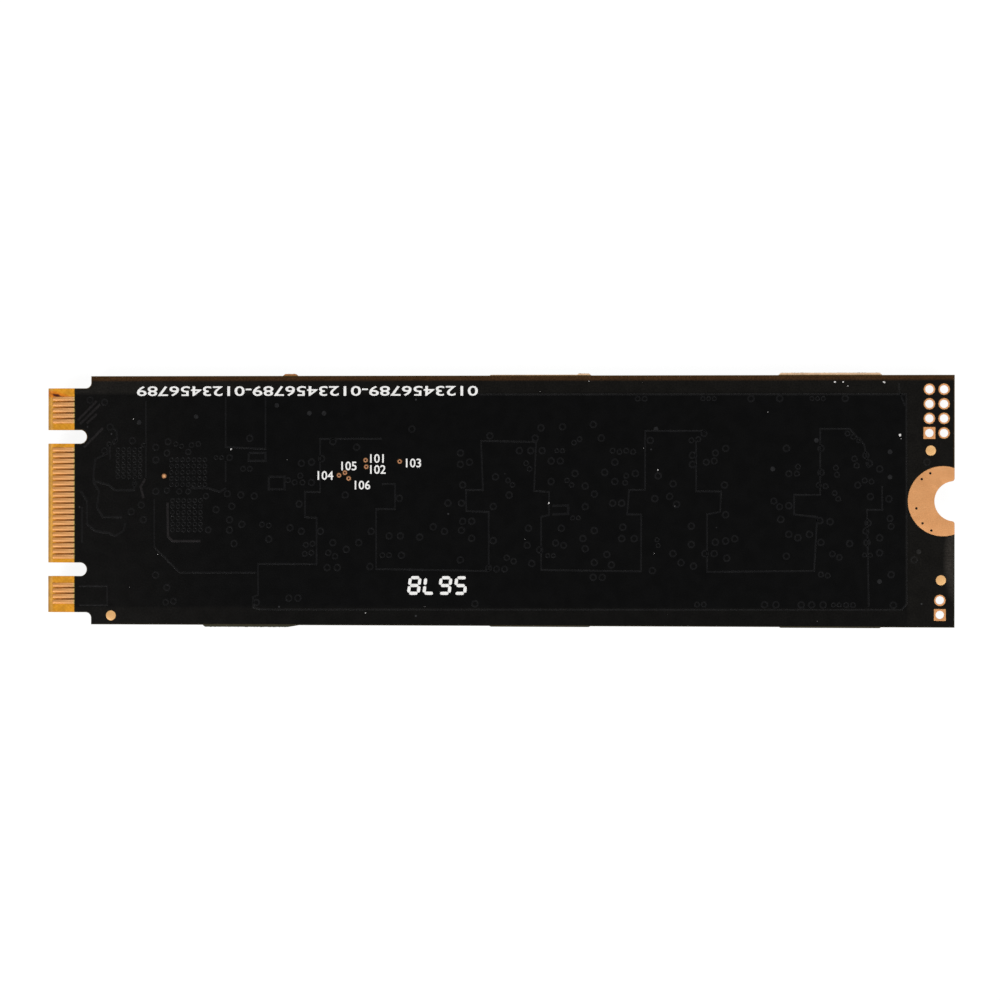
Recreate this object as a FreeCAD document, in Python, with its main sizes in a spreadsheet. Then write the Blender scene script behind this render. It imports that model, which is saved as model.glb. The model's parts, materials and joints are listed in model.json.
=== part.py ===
import FreeCAD, Part
import os
import re
import Sketcher

# A gumstick solid state drive, lying on its memory packages with its bare back up.
# X runs from the card edge to the screw notch, Y across the board and Z up from the resting faces.
# Inside each body X starts at the card edge. The body's Placement brings the board's middle to the origin.

DRIVING_SIZES = {
    # Board layers
    "laminate_thickness": 0.72,
    "mask_thickness": 0.04,
    "copper_thickness": 0.04,
    "mask_pullback": 0.08,
    "pad_clearance": 0.05,
    # Card edge
    "contact_pitch": 0.5,
    "contact_width": 0.35,
    "contact_setback": 0.45,
    "contact_length": 1.95,
    "tongue_margin": 0.675,
    "tongue_length": 3.9,
    "shoulder_step": 1.075,
    "shoulder_fillet": 0.5,
    "key_width": 1.2,
    "key_depth": 3.5,
    "edge_bevel": 0.25,
    # Room along the board, from the tongue to the screw end
    "edge_clear": 1.3,
    "power_column_width": 3.2,
    "package_gap": 0.6,
    "bank_gap": 1.0,
    "memory_gap": 0.5,
    "screw_zone": 4.5,
    # Screw end
    "screw_notch_radius": 1.75,
    "notch_mouth_fillet": 0.25,
    "screw_pad_radius": 3.05,
    "screw_pad_inset": 1.0,
    # Plated holes
    "header_pitch": 1.27,
    "header_end_inset": 0.92,
    "header_side_inset": 1.25,
    "jumper_end_inset": 1.27,
    "jumper_side_inset": 1.1,
    "plated_pad_radius": 0.5,
    "plated_bore_radius": 0.37,
    "plating_wall": 0.05,
    "first_pad_side": 1.02,
    # Bare copper dots
    "fiducial_radius": 0.44,
    "fiducial_edge_x": 5.68,
    "fiducial_side_inset": 0.8,
    "fiducial_end_inset_high": 2.06,
    "fiducial_offset_high": 4.41,
    "fiducial_end_inset_low": 1.18,
    "fiducial_offset_low": -6.88,
    "test_pad_radius": 0.2,
    "test_via_radius": 0.08,
    # Stubs of the broken panel tabs
    "tab_first_centre": 18.4,
    "tab_pitch": 25.4,
    "tab_length": 9.2,
    "tab_break_slope": 0.3,
    "tab_long_slope": 1.5,
    "stub_high": 0.2,
    "stub_middle": 0.17,
    "stub_low": 0.07,
    "nub_length": 1.5,
    "first_nub_inset": 0.55,
    # Packages on the component side
    "solder_standoff": 0.28,
    "ball_radius": 0.2,
    "pin_mark_radius": 0.4,
    "pin_mark_depth": 0.05,
    "pin_mark_inset": 1.2,
    "memory_length": 14.0,
    "memory_width": 18.0,
    "memory_height": 0.92,
    "memory_ball_pitch": 1.0,
    "controller_size": 8.0,
    "controller_height": 0.8,
    "controller_ball_pitch": 0.65,
    "power_chip_size": 3.0,
    "power_chip_height": 0.75,
    "power_chip_offset": 3.3,
    "lead_pitch": 0.5,
    "lead_width": 0.25,
    "lead_reach": 0.12,
    "lead_height": 0.2,
    # Two-ended parts
    "part_gap": 0.5,
    "end_lip": 0.02,
    "inductor_length": 2.5,
    "inductor_width": 2.0,
    "inductor_height": 1.0,
    "inductor_end": 0.45,
    "bulk_length": 2.0,
    "bulk_width": 1.25,
    "bulk_height": 0.85,
    "bulk_end": 0.4,
    "small_length": 1.0,
    "small_width": 0.5,
    "capacitor_height": 0.5,
    "resistor_height": 0.35,
    "small_end": 0.25,
    "memory_capacitor_spacing": 3.5,
    "small_part_spacing": 1.6,
    "row_gap": 0.6,
    # Clock crystal
    "crystal_length": 3.2,
    "crystal_width": 2.5,
    "crystal_base_height": 0.5,
    "crystal_lid_height": 0.3,
    "crystal_lid_inset": 0.15,
}

# Test pads by number: distance from the card edge and offset from the centre line.
TEST_PAD_PLACES = [
    (28.4, 3.56),
    (28.46, 2.98),
    (31.42, 3.45),
    (26.04, 2.23),
    (26.56, 2.46),
    (26.9, 1.95),
    (10.44, 2.15),
]
for number, (along, across) in enumerate(TEST_PAD_PLACES, 1):
    DRIVING_SIZES[f"test_pad_{number}_x"] = along
    DRIVING_SIZES[f"test_pad_{number}_y"] = across

# Edge contacts are numbered across both faces, and one face's contacts are two numbers apart.
# A bank is its first number and how many contacts it has. A key takes the place of eight numbers.
LAST_CONTACT = 75
MIDDLE_CONTACT = (1 + LAST_CONTACT) / 2
BACK_BANKS = [(2, 5), (20, 20), (68, 4)]
FRONT_BANKS = [(1, 6), (21, 19), (67, 5)]
KEY_NUMBERS = [15.5, 62.5]

MEMORY_COUNT = 4
MEMORY_BALL_COLUMNS = 11
MEMORY_BALL_ROWS = 17
CONTROLLER_BALL_ROWS = 11
LEADS_PER_SIDE = 5
HEADER_COLUMNS = 2
HEADER_ROWS = 4
JUMPER_ROWS = 2
CAPACITORS_PER_MEMORY_SIDE = 3
SMALL_PARTS_PER_ROW = 5

# Small round outlines are drawn with few sides, because there are many of them.
BALL_SIDES = 6
BORE_SIDES = 12
DOT_SIDES = 20

# Heights of the board's layers above the resting faces.
FACE = "(memory_height + solder_standoff)"
CORE_BOTTOM = f"({FACE} + mask_thickness)"
CORE_TOP = f"({CORE_BOTTOM} + laminate_thickness)"

# Widths and places across the board.
TONGUE_WIDTH = f"({(LAST_CONTACT - 1) / 2} * contact_pitch + 2 * tongue_margin)"
BOARD_WIDTH = f"({TONGUE_WIDTH} + 2 * shoulder_step)"
MASK_START = "(contact_setback + contact_length)"

# Places along the board, measured from the card edge.
MEMORY_PITCH = "(memory_length + memory_gap)"
POWER_COLUMN = "(tongue_length + edge_clear + power_column_width / 2)"
CONTROLLER_START = "(tongue_length + edge_clear + power_column_width + package_gap)"
CONTROLLER_X = f"({CONTROLLER_START} + controller_size / 2)"
MEMORY_START = f"({CONTROLLER_START} + controller_size + bank_gap)"
BOARD_LENGTH = f"({MEMORY_START} + {MEMORY_COUNT} * {MEMORY_PITCH} - memory_gap + screw_zone)"
HEADER_X = f"({BOARD_LENGTH} - header_end_inset - header_pitch)"
HEADER_Y = f"({BOARD_WIDTH} / 2 - header_side_inset - {HEADER_ROWS - 1} * header_pitch)"
HEADER = (HEADER_X, HEADER_Y)
JUMPER = (f"({BOARD_LENGTH} - jumper_end_inset)", f"(jumper_side_inset - {BOARD_WIDTH} / 2)")

doc = FreeCAD.newDocument("gumstick_drive")
sheet = doc.addObject("Spreadsheet::Sheet", "Sizes")
for row, (alias, value) in enumerate(DRIVING_SIZES.items(), 1):
    sheet.set(f"A{row}", alias)
    sheet.set(f"B{row}", str(value))
    sheet.setAlias(f"B{row}", alias)
doc.recompute()

sub_parts = []


def bound(formula):
    """Turns a formula of alias names into an expression on the sheet's cells."""
    names = "|".join(DRIVING_SIZES)
    return re.sub(rf"\b({names})\b", r"Sizes.\1", formula)


def size_of(formula):
    """Works out a formula of alias names as a number."""
    return float(sheet.evalExpression(formula))


def new_body(name):
    """Adds a sub-part whose Placement centres the board's length on the origin."""
    body = doc.addObject("PartDesign::Body", name)
    body.Label = name
    body.AllowCompound = True
    body.setExpression("Placement.Base.x", bound(f"-{BOARD_LENGTH} / 2"))
    sub_parts.append(body)
    return body


def new_sketch(body, height):
    """Adds a sketch on the body's XY plane, raised by a formula."""
    sketch = body.newObject("Sketcher::SketchObject", f"{body.Label}_sketch")
    plane = next(item for item in body.Origin.OriginFeatures if item.Role == "XY_Plane")
    sketch.AttachmentSupport = [(plane, "")]
    sketch.MapMode = "FlatFace"
    sketch.setExpression("AttachmentOffset.Base.z", bound(height))
    return sketch


def pin_points(sketch, pins):
    """Fixes points of a sketch, each a geometry, a point of it and formulas for its coordinates."""
    formulas = []
    constraints = []
    for geometry, point, x, y in pins:
        for kind, formula in (("DistanceX", x), ("DistanceY", y)):
            formulas.append(formula)
            constraints.append(Sketcher.Constraint(kind, -1, 1, geometry, point, size_of(formula)))
    indices = sketch.addConstraint(constraints)
    for index, formula in zip(indices, formulas):
        sketch.setExpression(f"Constraints[{index}]", bound(formula))


def draw_polygon(sketch, corners):
    """Draws a closed outline through corners given as pairs of formulas."""
    points = [FreeCAD.Vector(size_of(x), size_of(y), 0) for x, y in corners]
    segments = [Part.LineSegment(*ends) for ends in zip(points, points[1:] + points[:1])]
    lines = sketch.addGeometry(segments, False)
    joined = zip(lines, lines[1:] + lines[:1])
    sketch.addConstraint([Sketcher.Constraint("Coincident", line, 2, after, 1) for line, after in joined])
    pin_points(sketch, [(line, 1, x, y) for line, (x, y) in zip(lines, corners)])


def draw_rectangle(sketch, low_x, low_y, high_x, high_y):
    """Draws a rectangle between two corners."""
    draw_polygon(sketch, [(low_x, low_y), (high_x, low_y), (high_x, high_y), (low_x, high_y)])


def draw_block(sketch, x, y, length, width):
    """Draws a rectangle about its middle."""
    draw_rectangle(
        sketch,
        f"{x} - {length} / 2",
        f"{y} - {width} / 2",
        f"{x} + {length} / 2",
        f"{y} + {width} / 2",
    )


def draw_circle(sketch, x, y, radius):
    """Draws a circle about its middle."""
    centre = FreeCAD.Vector(size_of(x), size_of(y), 0)
    circle = Part.Circle(centre, FreeCAD.Vector(0, 0, 1), size_of(radius))
    geometry = sketch.addGeometry(circle, False)
    pin_points(sketch, [(geometry, 3, x, y)])
    index = sketch.addConstraint(Sketcher.Constraint("Radius", geometry, size_of(radius)))
    sketch.setExpression(f"Constraints[{index}]", bound(radius))


def add_feature(body, kind, sketch, length):
    """Adds a Pad, which rises from its sketch, or a Pocket, which cuts down from it."""
    feature = body.newObject(f"PartDesign::{kind}", f"{body.Label}_{kind.lower()}")
    feature.Profile = sketch
    feature.setExpression("Length", bound(length))
    doc.recompute()
    return feature


def add_pad(body, sketch, length):
    """Raises a sketch by a formula for its height."""
    return add_feature(body, "Pad", sketch, length)


def add_pocket(body, sketch, depth):
    """Cuts a sketch down into the body and makes sure that something was cut."""
    before = body.Shape.Volume
    pocket = add_feature(body, "Pocket", sketch, depth)
    if body.Shape.Volume >= before:
        raise RuntimeError(f"{pocket.Label} cuts nothing")
    return pocket


def add_prism(body, kind, place, bottom, radius, height, sides):
    """Adds or cuts a small upright prism. Kind is Additive or Subtractive and place a pair of formulas."""
    prism = body.newObject(f"PartDesign::{kind}Prism", f"{body.Label}_prism")
    prism.Polygon = sides
    prism.setExpression("Circumradius", bound(radius))
    prism.setExpression("Height", bound(height))
    for axis, formula in zip("xyz", (*place, bottom)):
        prism.setExpression(f"Placement.Base.{axis}", bound(formula))
    doc.recompute()
    return prism


def add_grid(body, feature, columns, column_step, rows=1, row_step=None):
    """Repeats a feature along X and along Y."""
    grid = body.newObject("PartDesign::LinearPattern", f"{body.Label}_grid")
    grid.Originals = [feature]
    axes = {item.Role: item for item in body.Origin.OriginFeatures}
    directions = [("", "X_Axis", columns, column_step), ("2", "Y_Axis", rows, row_step)]
    for suffix, axis, count, step in directions:
        setattr(grid, f"Direction{suffix}", (axes[axis], [""]))
        setattr(grid, f"Mode{suffix}", "Extent")
        setattr(grid, f"Occurrences{suffix}", count)
        if count > 1:
            grid.setExpression(f"Length{suffix}", bound(f"{count - 1} * {step}"))
    body.Tip = grid
    doc.recompute()


def upright_edges(body, places):
    """Names the body's upright edges that stand at the given pairs of formulas."""
    wanted = [(size_of(x), size_of(y)) for x, y in places]
    names = []
    for number, edge in enumerate(body.Tip.Shape.Edges, 1):
        box = edge.BoundBox
        if box.XLength > 1e-6 or box.YLength > 1e-6:
            continue
        if any(abs(box.XMin - x) < 1e-4 and abs(box.YMin - y) < 1e-4 for x, y in wanted):
            names.append(f"Edge{number}")
    return names


def add_fillet(body, places, radius):
    """Rounds the upright edges at the given places."""
    names = upright_edges(body, places)
    if len(names) != len(places):
        raise RuntimeError(f"{body.Label} has {len(names)} of {len(places)} edges to round")
    base = body.Tip
    fillet = body.newObject("PartDesign::Fillet", f"{body.Label}_fillet")
    fillet.Base = (base, names)
    fillet.setExpression("Radius", bound(radius))
    doc.recompute()


def contact_place(number):
    """Gives the offset across the board of a contact or key by its number."""
    return f"({(MIDDLE_CONTACT - number) / 2} * contact_pitch)"


def build_sheet_outline(name, bottom, thickness, start, pullback):
    """Makes one layer of the board with its tongue, shoulders and key notches.

    A layer that starts behind the card edge or stops short of the routed sides gives both as formulas.
    """
    body = new_body(name)
    top = f"{bottom} + {thickness}"
    half_width = f"({BOARD_WIDTH} / 2 - {pullback})"
    half_tongue = f"({TONGUE_WIDTH} / 2 - {pullback})"
    shoulder = f"(tongue_length + {pullback})"

    outline = new_sketch(body, bottom)
    draw_rectangle(outline, start, f"-{half_width}", f"{BOARD_LENGTH} - {pullback}", half_width)
    add_pad(body, outline, thickness)

    shoulders = new_sketch(body, top)
    outside = f"{BOARD_WIDTH} / 2 + shoulder_step"
    draw_rectangle(shoulders, "-shoulder_step", half_tongue, shoulder, outside)
    draw_rectangle(shoulders, "-shoulder_step", f"-({outside})", shoulder, f"-{half_tongue}")
    add_pocket(body, shoulders, thickness)
    corners = [(shoulder, half_tongue), (shoulder, f"-{half_tongue}")]
    add_fillet(body, corners, f"shoulder_fillet + {pullback}")

    notch_radius = f"(key_width / 2 + {pullback})"
    notch_centre = "(key_depth - key_width / 2)"
    sides = new_sketch(body, top)
    ends = new_sketch(body, top)
    for number in KEY_NUMBERS:
        place = contact_place(number)
        low = f"{place} - {notch_radius}"
        high = f"{place} + {notch_radius}"
        draw_rectangle(sides, "-key_width", low, notch_centre, high)
        draw_circle(ends, notch_centre, place, notch_radius)
    add_pocket(body, sides, thickness)
    add_pocket(body, ends, thickness)
    return body


def cut_screw_notch(body, top, depth):
    """Cuts the half-round screw notch and rounds the corners of its mouth."""
    notch = new_sketch(body, top)
    draw_circle(notch, BOARD_LENGTH, "0 * screw_notch_radius", "screw_notch_radius")
    add_pocket(body, notch, depth)
    mouth = [(BOARD_LENGTH, "screw_notch_radius"), (BOARD_LENGTH, "-screw_notch_radius")]
    add_fillet(body, mouth, "notch_mouth_fillet")


def cut_plated_holes(body, bottom, depth, radius):
    """Cuts a hole at each place of the header and the jumper."""
    hole = add_prism(body, "Subtractive", HEADER, bottom, radius, depth, BORE_SIDES)
    add_grid(body, hole, HEADER_COLUMNS, "header_pitch", HEADER_ROWS, "header_pitch")
    hole = add_prism(body, "Subtractive", JUMPER, bottom, radius, depth, BORE_SIDES)
    add_grid(body, hole, 1, None, JUMPER_ROWS, "header_pitch")


def draw_stub(sketch, start, length, height, side, far_slope="tab_break_slope"):
    """Draws one broken stub on a long side of the board, with sloping ends."""
    root = f"({side} * ({BOARD_WIDTH} / 2 - mask_pullback))"
    crest = f"({side} * ({BOARD_WIDTH} / 2 + {height}))"
    draw_polygon(
        sketch,
        [
            (start, root),
            (f"{start} + {length}", root),
            (f"{start} + {length} - {far_slope}", crest),
            (f"{start} + tab_break_slope", crest),
        ],
    )


def build_laminate():
    """Makes the bare board: outline, screw notch, tab stubs, drilled holes and bevelled card edge."""
    body = build_sheet_outline(
        "board_laminate", CORE_BOTTOM, "laminate_thickness", "0 * key_width", "0 * key_width"
    )
    cut_screw_notch(body, CORE_TOP, "laminate_thickness")

    first, second, third = [
        f"(tab_first_centre + {station} * tab_pitch - tab_length / 2)" for station in range(3)
    ]
    stubs = new_sketch(body, CORE_BOTTOM)
    nub_start = f"({first} + tab_length - nub_length - first_nub_inset)"
    draw_stub(stubs, nub_start, "nub_length", "stub_middle", 1)
    draw_stub(stubs, second, "tab_length", "stub_low", 1)
    draw_stub(stubs, third, "tab_length", "stub_high", 1)
    draw_stub(stubs, first, "tab_length", "stub_middle", -1, "tab_long_slope")
    draw_stub(stubs, second, "tab_length", "stub_low", -1)
    draw_stub(stubs, third, "tab_length", "stub_low", -1)
    add_pad(body, stubs, "laminate_thickness")
    nub = new_sketch(body, CORE_BOTTOM)
    nub_start = f"({second} + tab_length - nub_length)"
    draw_stub(nub, nub_start, "nub_length", "stub_middle", 1)
    add_pad(body, nub, "laminate_thickness")

    cut_plated_holes(body, CORE_BOTTOM, "laminate_thickness", "plated_bore_radius + plating_wall")

    leading_edges = []
    for number, edge in enumerate(body.Tip.Shape.Edges, 1):
        box = edge.BoundBox
        if box.XMax < 1e-6 and box.ZLength < 1e-6:
            leading_edges.append(f"Edge{number}")
    base = body.Tip
    bevel = body.newObject("PartDesign::Chamfer", "card_edge_bevel")
    bevel.Base = (base, leading_edges)
    bevel.setExpression("Size", bound("edge_bevel"))
    doc.recompute()


def build_mask(name, bottom, dots):
    """Makes a solder mask with its openings round the dots, the screw pad and the plated holes.

    A dot is its place, its radius and its number of sides.
    """
    body = build_sheet_outline(name, bottom, "mask_thickness", MASK_START, "mask_pullback")
    for place, radius, sides in dots:
        opening = f"{radius} + pad_clearance"
        add_prism(body, "Subtractive", place, bottom, opening, "mask_thickness", sides)
    top = f"{bottom} + mask_thickness"
    screw = new_sketch(body, top)
    draw_circle(
        screw,
        f"{BOARD_LENGTH} - screw_pad_inset",
        "0 * screw_pad_radius",
        "screw_pad_radius + pad_clearance",
    )
    add_pocket(body, screw, "mask_thickness")
    opening = "(first_pad_side + 2 * pad_clearance)"
    squares = new_sketch(body, top)
    for place in (HEADER, JUMPER):
        draw_block(squares, *place, opening, opening)
    add_pocket(body, squares, "mask_thickness")
    cut_plated_holes(body, bottom, "mask_thickness", "plated_pad_radius + pad_clearance")


def fiducial_places():
    """Gives the places of the three solid copper dots."""
    return [
        ("fiducial_edge_x", f"(fiducial_side_inset - {BOARD_WIDTH} / 2)"),
        (f"({BOARD_LENGTH} - fiducial_end_inset_high)", "fiducial_offset_high"),
        (f"({BOARD_LENGTH} - fiducial_end_inset_low)", "fiducial_offset_low"),
    ]


def test_pad_places():
    """Gives the places of the small ring pads."""
    numbers = range(1, len(TEST_PAD_PLACES) + 1)
    return [(f"test_pad_{number}_x", f"test_pad_{number}_y") for number in numbers]


def build_contacts(name, bottom, banks):
    """Makes the gold contacts of one face, a bank at a time."""
    body = new_body(name)
    for first, count in banks:
        contact = new_sketch(body, bottom)
        last = first + 2 * (count - 1)
        middle = "(contact_setback + contact_length / 2)"
        draw_block(contact, middle, contact_place(last), "contact_length", "contact_width")
        pad = add_pad(body, contact, "copper_thickness")
        add_grid(body, pad, 1, None, count, "contact_pitch")


def build_screw_pad(name, bottom):
    """Makes the round ground pad that the screw head lands on, cut by the notch and the board's end."""
    body = new_body(name)
    top = f"{bottom} + copper_thickness"
    centre = f"({BOARD_LENGTH} - screw_pad_inset)"
    pad = new_sketch(body, bottom)
    draw_circle(pad, centre, "0 * screw_pad_radius", "screw_pad_radius")
    add_pad(body, pad, "copper_thickness")
    past_end = new_sketch(body, top)
    reach = "2 * screw_pad_radius"
    draw_rectangle(past_end, BOARD_LENGTH, f"-{reach}", f"{BOARD_LENGTH} + {reach}", reach)
    add_pocket(body, past_end, "copper_thickness")
    cut_screw_notch(body, top, "copper_thickness")


def build_plated_holes(name, place, columns, rows):
    """Makes a grid of plated holes, each a barrel with a ring on both faces. The first has square pads."""
    body = new_body(name)
    low = f"({CORE_BOTTOM} - copper_thickness)"
    height = "laminate_thickness + 2 * copper_thickness"
    repeats = (columns, "header_pitch", rows, "header_pitch")
    wall_radius = "plated_bore_radius + plating_wall"
    wall = add_prism(body, "Additive", place, low, wall_radius, height, BORE_SIDES)
    add_grid(body, wall, *repeats)
    for level in (low, CORE_TOP):
        thickness = "copper_thickness"
        ring = add_prism(body, "Additive", place, level, "plated_pad_radius", thickness, BORE_SIDES)
        add_grid(body, ring, *repeats)
        square = new_sketch(body, level)
        draw_block(square, *place, "first_pad_side", "first_pad_side")
        add_pad(body, square, thickness)
    bore = add_prism(body, "Subtractive", place, low, "plated_bore_radius", height, BORE_SIDES)
    add_grid(body, bore, *repeats)


def build_fiducials():
    """Makes the solid copper dots on the back of the board."""
    body = new_body("fiducial_pads")
    for place in fiducial_places():
        add_prism(body, "Additive", place, CORE_TOP, "fiducial_radius", "copper_thickness", DOT_SIDES)


def build_test_pads():
    """Makes the small copper rings on the back of the board, each about the mouth of a via."""
    body = new_body("test_pads")
    thickness = "copper_thickness"
    for place in test_pad_places():
        add_prism(body, "Additive", place, CORE_TOP, "test_pad_radius", thickness, BORE_SIDES)
        add_prism(body, "Subtractive", place, CORE_TOP, "test_via_radius", thickness, BALL_SIDES)


def build_package(name, x, y, length, width, height, underside):
    """Makes a moulded package below the board, with its pin mark on the face turned away from the board."""
    body = new_body(name)
    face = f"({underside} - {height})"
    block = new_sketch(body, face)
    draw_block(block, x, y, length, width)
    add_pad(body, block, height)
    mark = (f"{x} - {length} / 2 + pin_mark_inset", f"{y} + {width} / 2 - pin_mark_inset")
    add_prism(body, "Subtractive", mark, face, "pin_mark_radius", "pin_mark_depth", BORE_SIDES)


def build_ball_ring(name, x, y, pitch, columns, rows):
    """Makes the outer ring of a package's solder balls, as short six-sided posts."""
    body = new_body(name)
    first_x = f"({x} - {(columns - 1) / 2} * {pitch})"
    first_y = f"({y} - {(rows - 1) / 2} * {pitch})"
    underside = f"({FACE} - solder_standoff)"
    size = ("ball_radius", "solder_standoff", BALL_SIDES)
    post = add_prism(body, "Additive", (first_x, first_y), underside, *size)
    add_grid(body, post, columns, pitch, 2, f"{rows - 1} * {pitch}")
    second_y = f"({first_y} + {pitch})"
    post = add_prism(body, "Additive", (first_x, second_y), underside, *size)
    add_grid(body, post, 2, f"{columns - 1} * {pitch}", rows - 2, pitch)


def build_power_chip():
    """Makes the flat power chip and the row of solder leads along each of its sides."""
    y = "power_chip_offset"
    size = "power_chip_size"
    build_package("power_chip", POWER_COLUMN, y, size, size, "power_chip_height", FACE)
    body = new_body("power_chip_leads")
    step = "(power_chip_size + lead_reach)"
    start = f"{(LEADS_PER_SIDE - 1) / 2} * lead_pitch"
    height = f"{FACE} - lead_height"
    left = new_sketch(body, height)
    draw_block(left, f"{POWER_COLUMN} - {step} / 2", f"{y} - {start}", "lead_reach", "lead_width")
    lead = add_pad(body, left, "lead_height")
    add_grid(body, lead, 2, step, LEADS_PER_SIDE, "lead_pitch")
    lower = new_sketch(body, height)
    draw_block(lower, f"{POWER_COLUMN} - {start}", f"{y} - {step} / 2", "lead_width", "lead_reach")
    lead = add_pad(body, lower, "lead_height")
    add_grid(body, lead, LEADS_PER_SIDE, "lead_pitch", 2, step)


def build_two_ended(name, end_name, places, length, width, height, end, grid=None):
    """Makes parts that have a body between two metal ends, at places that a grid may repeat.

    The ends stand on the board and the body hangs between them, inside their lips.
    """
    bodies = new_body(name)
    drawn = new_sketch(bodies, f"{FACE} - {height} + end_lip")
    for x, y in places:
        draw_block(drawn, x, y, f"({length} - 2 * {end})", f"({width} - 2 * end_lip)")
    middle = add_pad(bodies, drawn, f"{height} - 2 * end_lip")
    ends = new_body(end_name)
    drawn = new_sketch(ends, f"{FACE} - {height}")
    for x, y in places:
        for side in ("-", "+"):
            draw_block(drawn, f"{x} {side} ({length} - {end}) / 2", y, end, width)
    caps = add_pad(ends, drawn, height)
    if grid:
        add_grid(bodies, middle, *grid)
        add_grid(ends, caps, *grid)


def build_power_parts():
    """Makes the inductors, the crystal and the bulk capacitors in the power chip's column."""
    chip_half = "power_chip_size / 2"
    reach = f"({chip_half} + lead_reach + part_gap + inductor_width / 2)"
    upper = f"(power_chip_offset + {reach})"
    lower = f"(power_chip_offset - {reach})"
    lowest = f"({lower} - inductor_width - part_gap)"
    build_two_ended(
        "power_inductors",
        "power_inductor_ends",
        [(POWER_COLUMN, upper), (POWER_COLUMN, lower), (POWER_COLUMN, lowest)],
        "inductor_length",
        "inductor_width",
        "inductor_height",
        "inductor_end",
    )

    crystal = f"({lowest} - inductor_width / 2 - part_gap - crystal_width / 2)"
    base = new_body("crystal_base")
    drawn = new_sketch(base, f"{FACE} - crystal_base_height")
    draw_block(drawn, POWER_COLUMN, crystal, "crystal_length", "crystal_width")
    add_pad(base, drawn, "crystal_base_height")
    lid = new_body("crystal_lid")
    drawn = new_sketch(lid, f"{FACE} - crystal_base_height - crystal_lid_height")
    lid_length = "(crystal_length - 2 * crystal_lid_inset)"
    lid_width = "(crystal_width - 2 * crystal_lid_inset)"
    draw_block(drawn, POWER_COLUMN, crystal, lid_length, lid_width)
    add_pad(lid, drawn, "crystal_lid_height")

    above = f"({upper} + inductor_width / 2 + part_gap + bulk_width / 2)"
    below = f"({crystal} - crystal_width / 2 - part_gap - bulk_width / 2)"
    lowest = f"({below} - bulk_width - part_gap)"
    build_two_ended(
        "bulk_capacitors",
        "bulk_capacitor_ends",
        [(POWER_COLUMN, above), (POWER_COLUMN, below), (POWER_COLUMN, lowest)],
        "bulk_length",
        "bulk_width",
        "bulk_height",
        "bulk_end",
    )


def build_small_parts():
    """Makes the rows of small capacitors and resistors beside the controller and the memory."""
    row = f"({CONTROLLER_X} - {(SMALL_PARTS_PER_ROW - 1) / 2} * small_part_spacing)"
    inner = "(controller_size / 2 + row_gap + small_width / 2)"
    outer = f"({inner} + small_width + row_gap)"
    grid = (SMALL_PARTS_PER_ROW, "small_part_spacing")
    small = ("small_length", "small_width")
    build_two_ended(
        "controller_capacitors",
        "controller_capacitor_ends",
        [(row, inner), (row, f"-{inner}")],
        *small,
        "capacitor_height",
        "small_end",
        grid,
    )
    build_two_ended(
        "pull_resistors",
        "pull_resistor_ends",
        [(row, outer), (row, f"-{outer}")],
        *small,
        "resistor_height",
        "small_end",
        grid,
    )
    strip = f"(({BOARD_WIDTH} + memory_width) / 4)"
    places = []
    for place in range(CAPACITORS_PER_MEMORY_SIDE):
        shift = f"{place - (CAPACITORS_PER_MEMORY_SIDE - 1) / 2} * memory_capacitor_spacing"
        x = f"({MEMORY_START} + memory_length / 2 + {shift})"
        places += [(x, strip), (x, f"-{strip}")]
    build_two_ended(
        "memory_capacitors",
        "memory_capacitor_ends",
        places,
        *small,
        "capacitor_height",
        "small_end",
        (MEMORY_COUNT, MEMORY_PITCH),
    )


def build_packages():
    """Makes the controller and the row of memory packages with their solder balls."""
    underside = f"({FACE} - solder_standoff)"
    centre_line = "(0 * memory_width)"
    size = "controller_size"
    build_package("controller", CONTROLLER_X, centre_line, size, size, "controller_height", underside)
    build_ball_ring(
        "controller_balls",
        CONTROLLER_X,
        centre_line,
        "controller_ball_pitch",
        CONTROLLER_BALL_ROWS,
        CONTROLLER_BALL_ROWS,
    )
    for number in range(MEMORY_COUNT):
        x = f"({MEMORY_START} + memory_length / 2 + {number} * {MEMORY_PITCH})"
        build_package(
            f"memory_package_{number + 1}",
            x,
            centre_line,
            "memory_length",
            "memory_width",
            "memory_height",
            underside,
        )
        build_ball_ring(
            f"memory_balls_{number + 1}",
            x,
            centre_line,
            "memory_ball_pitch",
            MEMORY_BALL_COLUMNS,
            MEMORY_BALL_ROWS,
        )


def build_board():
    """Makes the board's laminate, masks, contacts, pads and plated holes."""
    build_laminate()
    dots = [(place, "fiducial_radius", DOT_SIDES) for place in fiducial_places()]
    dots += [(place, "test_pad_radius", BORE_SIDES) for place in test_pad_places()]
    build_mask("solder_mask_back", CORE_TOP, dots)
    build_mask("solder_mask_front", FACE, [])
    front_copper = f"({CORE_BOTTOM} - copper_thickness)"
    build_contacts("edge_contacts_back", CORE_TOP, BACK_BANKS)
    build_contacts("edge_contacts_front", front_copper, FRONT_BANKS)
    build_screw_pad("screw_pad_back", CORE_TOP)
    build_screw_pad("screw_pad_front", front_copper)
    build_plated_holes("header_holes", HEADER, HEADER_COLUMNS, HEADER_ROWS)
    build_plated_holes("jumper_holes", JUMPER, 1, JUMPER_ROWS)
    build_fiducials()
    build_test_pads()


def write_parts():
    """Checks every object of the document and writes each sub-part to its own file."""
    doc.recompute()
    for item in doc.Objects:
        if "Invalid" in item.State or "Error" in item.State:
            raise RuntimeError(f"{item.Label} failed to build")
    shapes = {body.Label: body.Shape for body in sub_parts}
    for label, shape in shapes.items():
        if shape.isNull() or not shape.isValid() or not shape.Solids:
            raise RuntimeError(f"{label} has no valid solid")
    os.makedirs("parts", exist_ok=True)
    for label, shape in shapes.items():
        shape.exportStep(f"parts/{label}.step")


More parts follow.
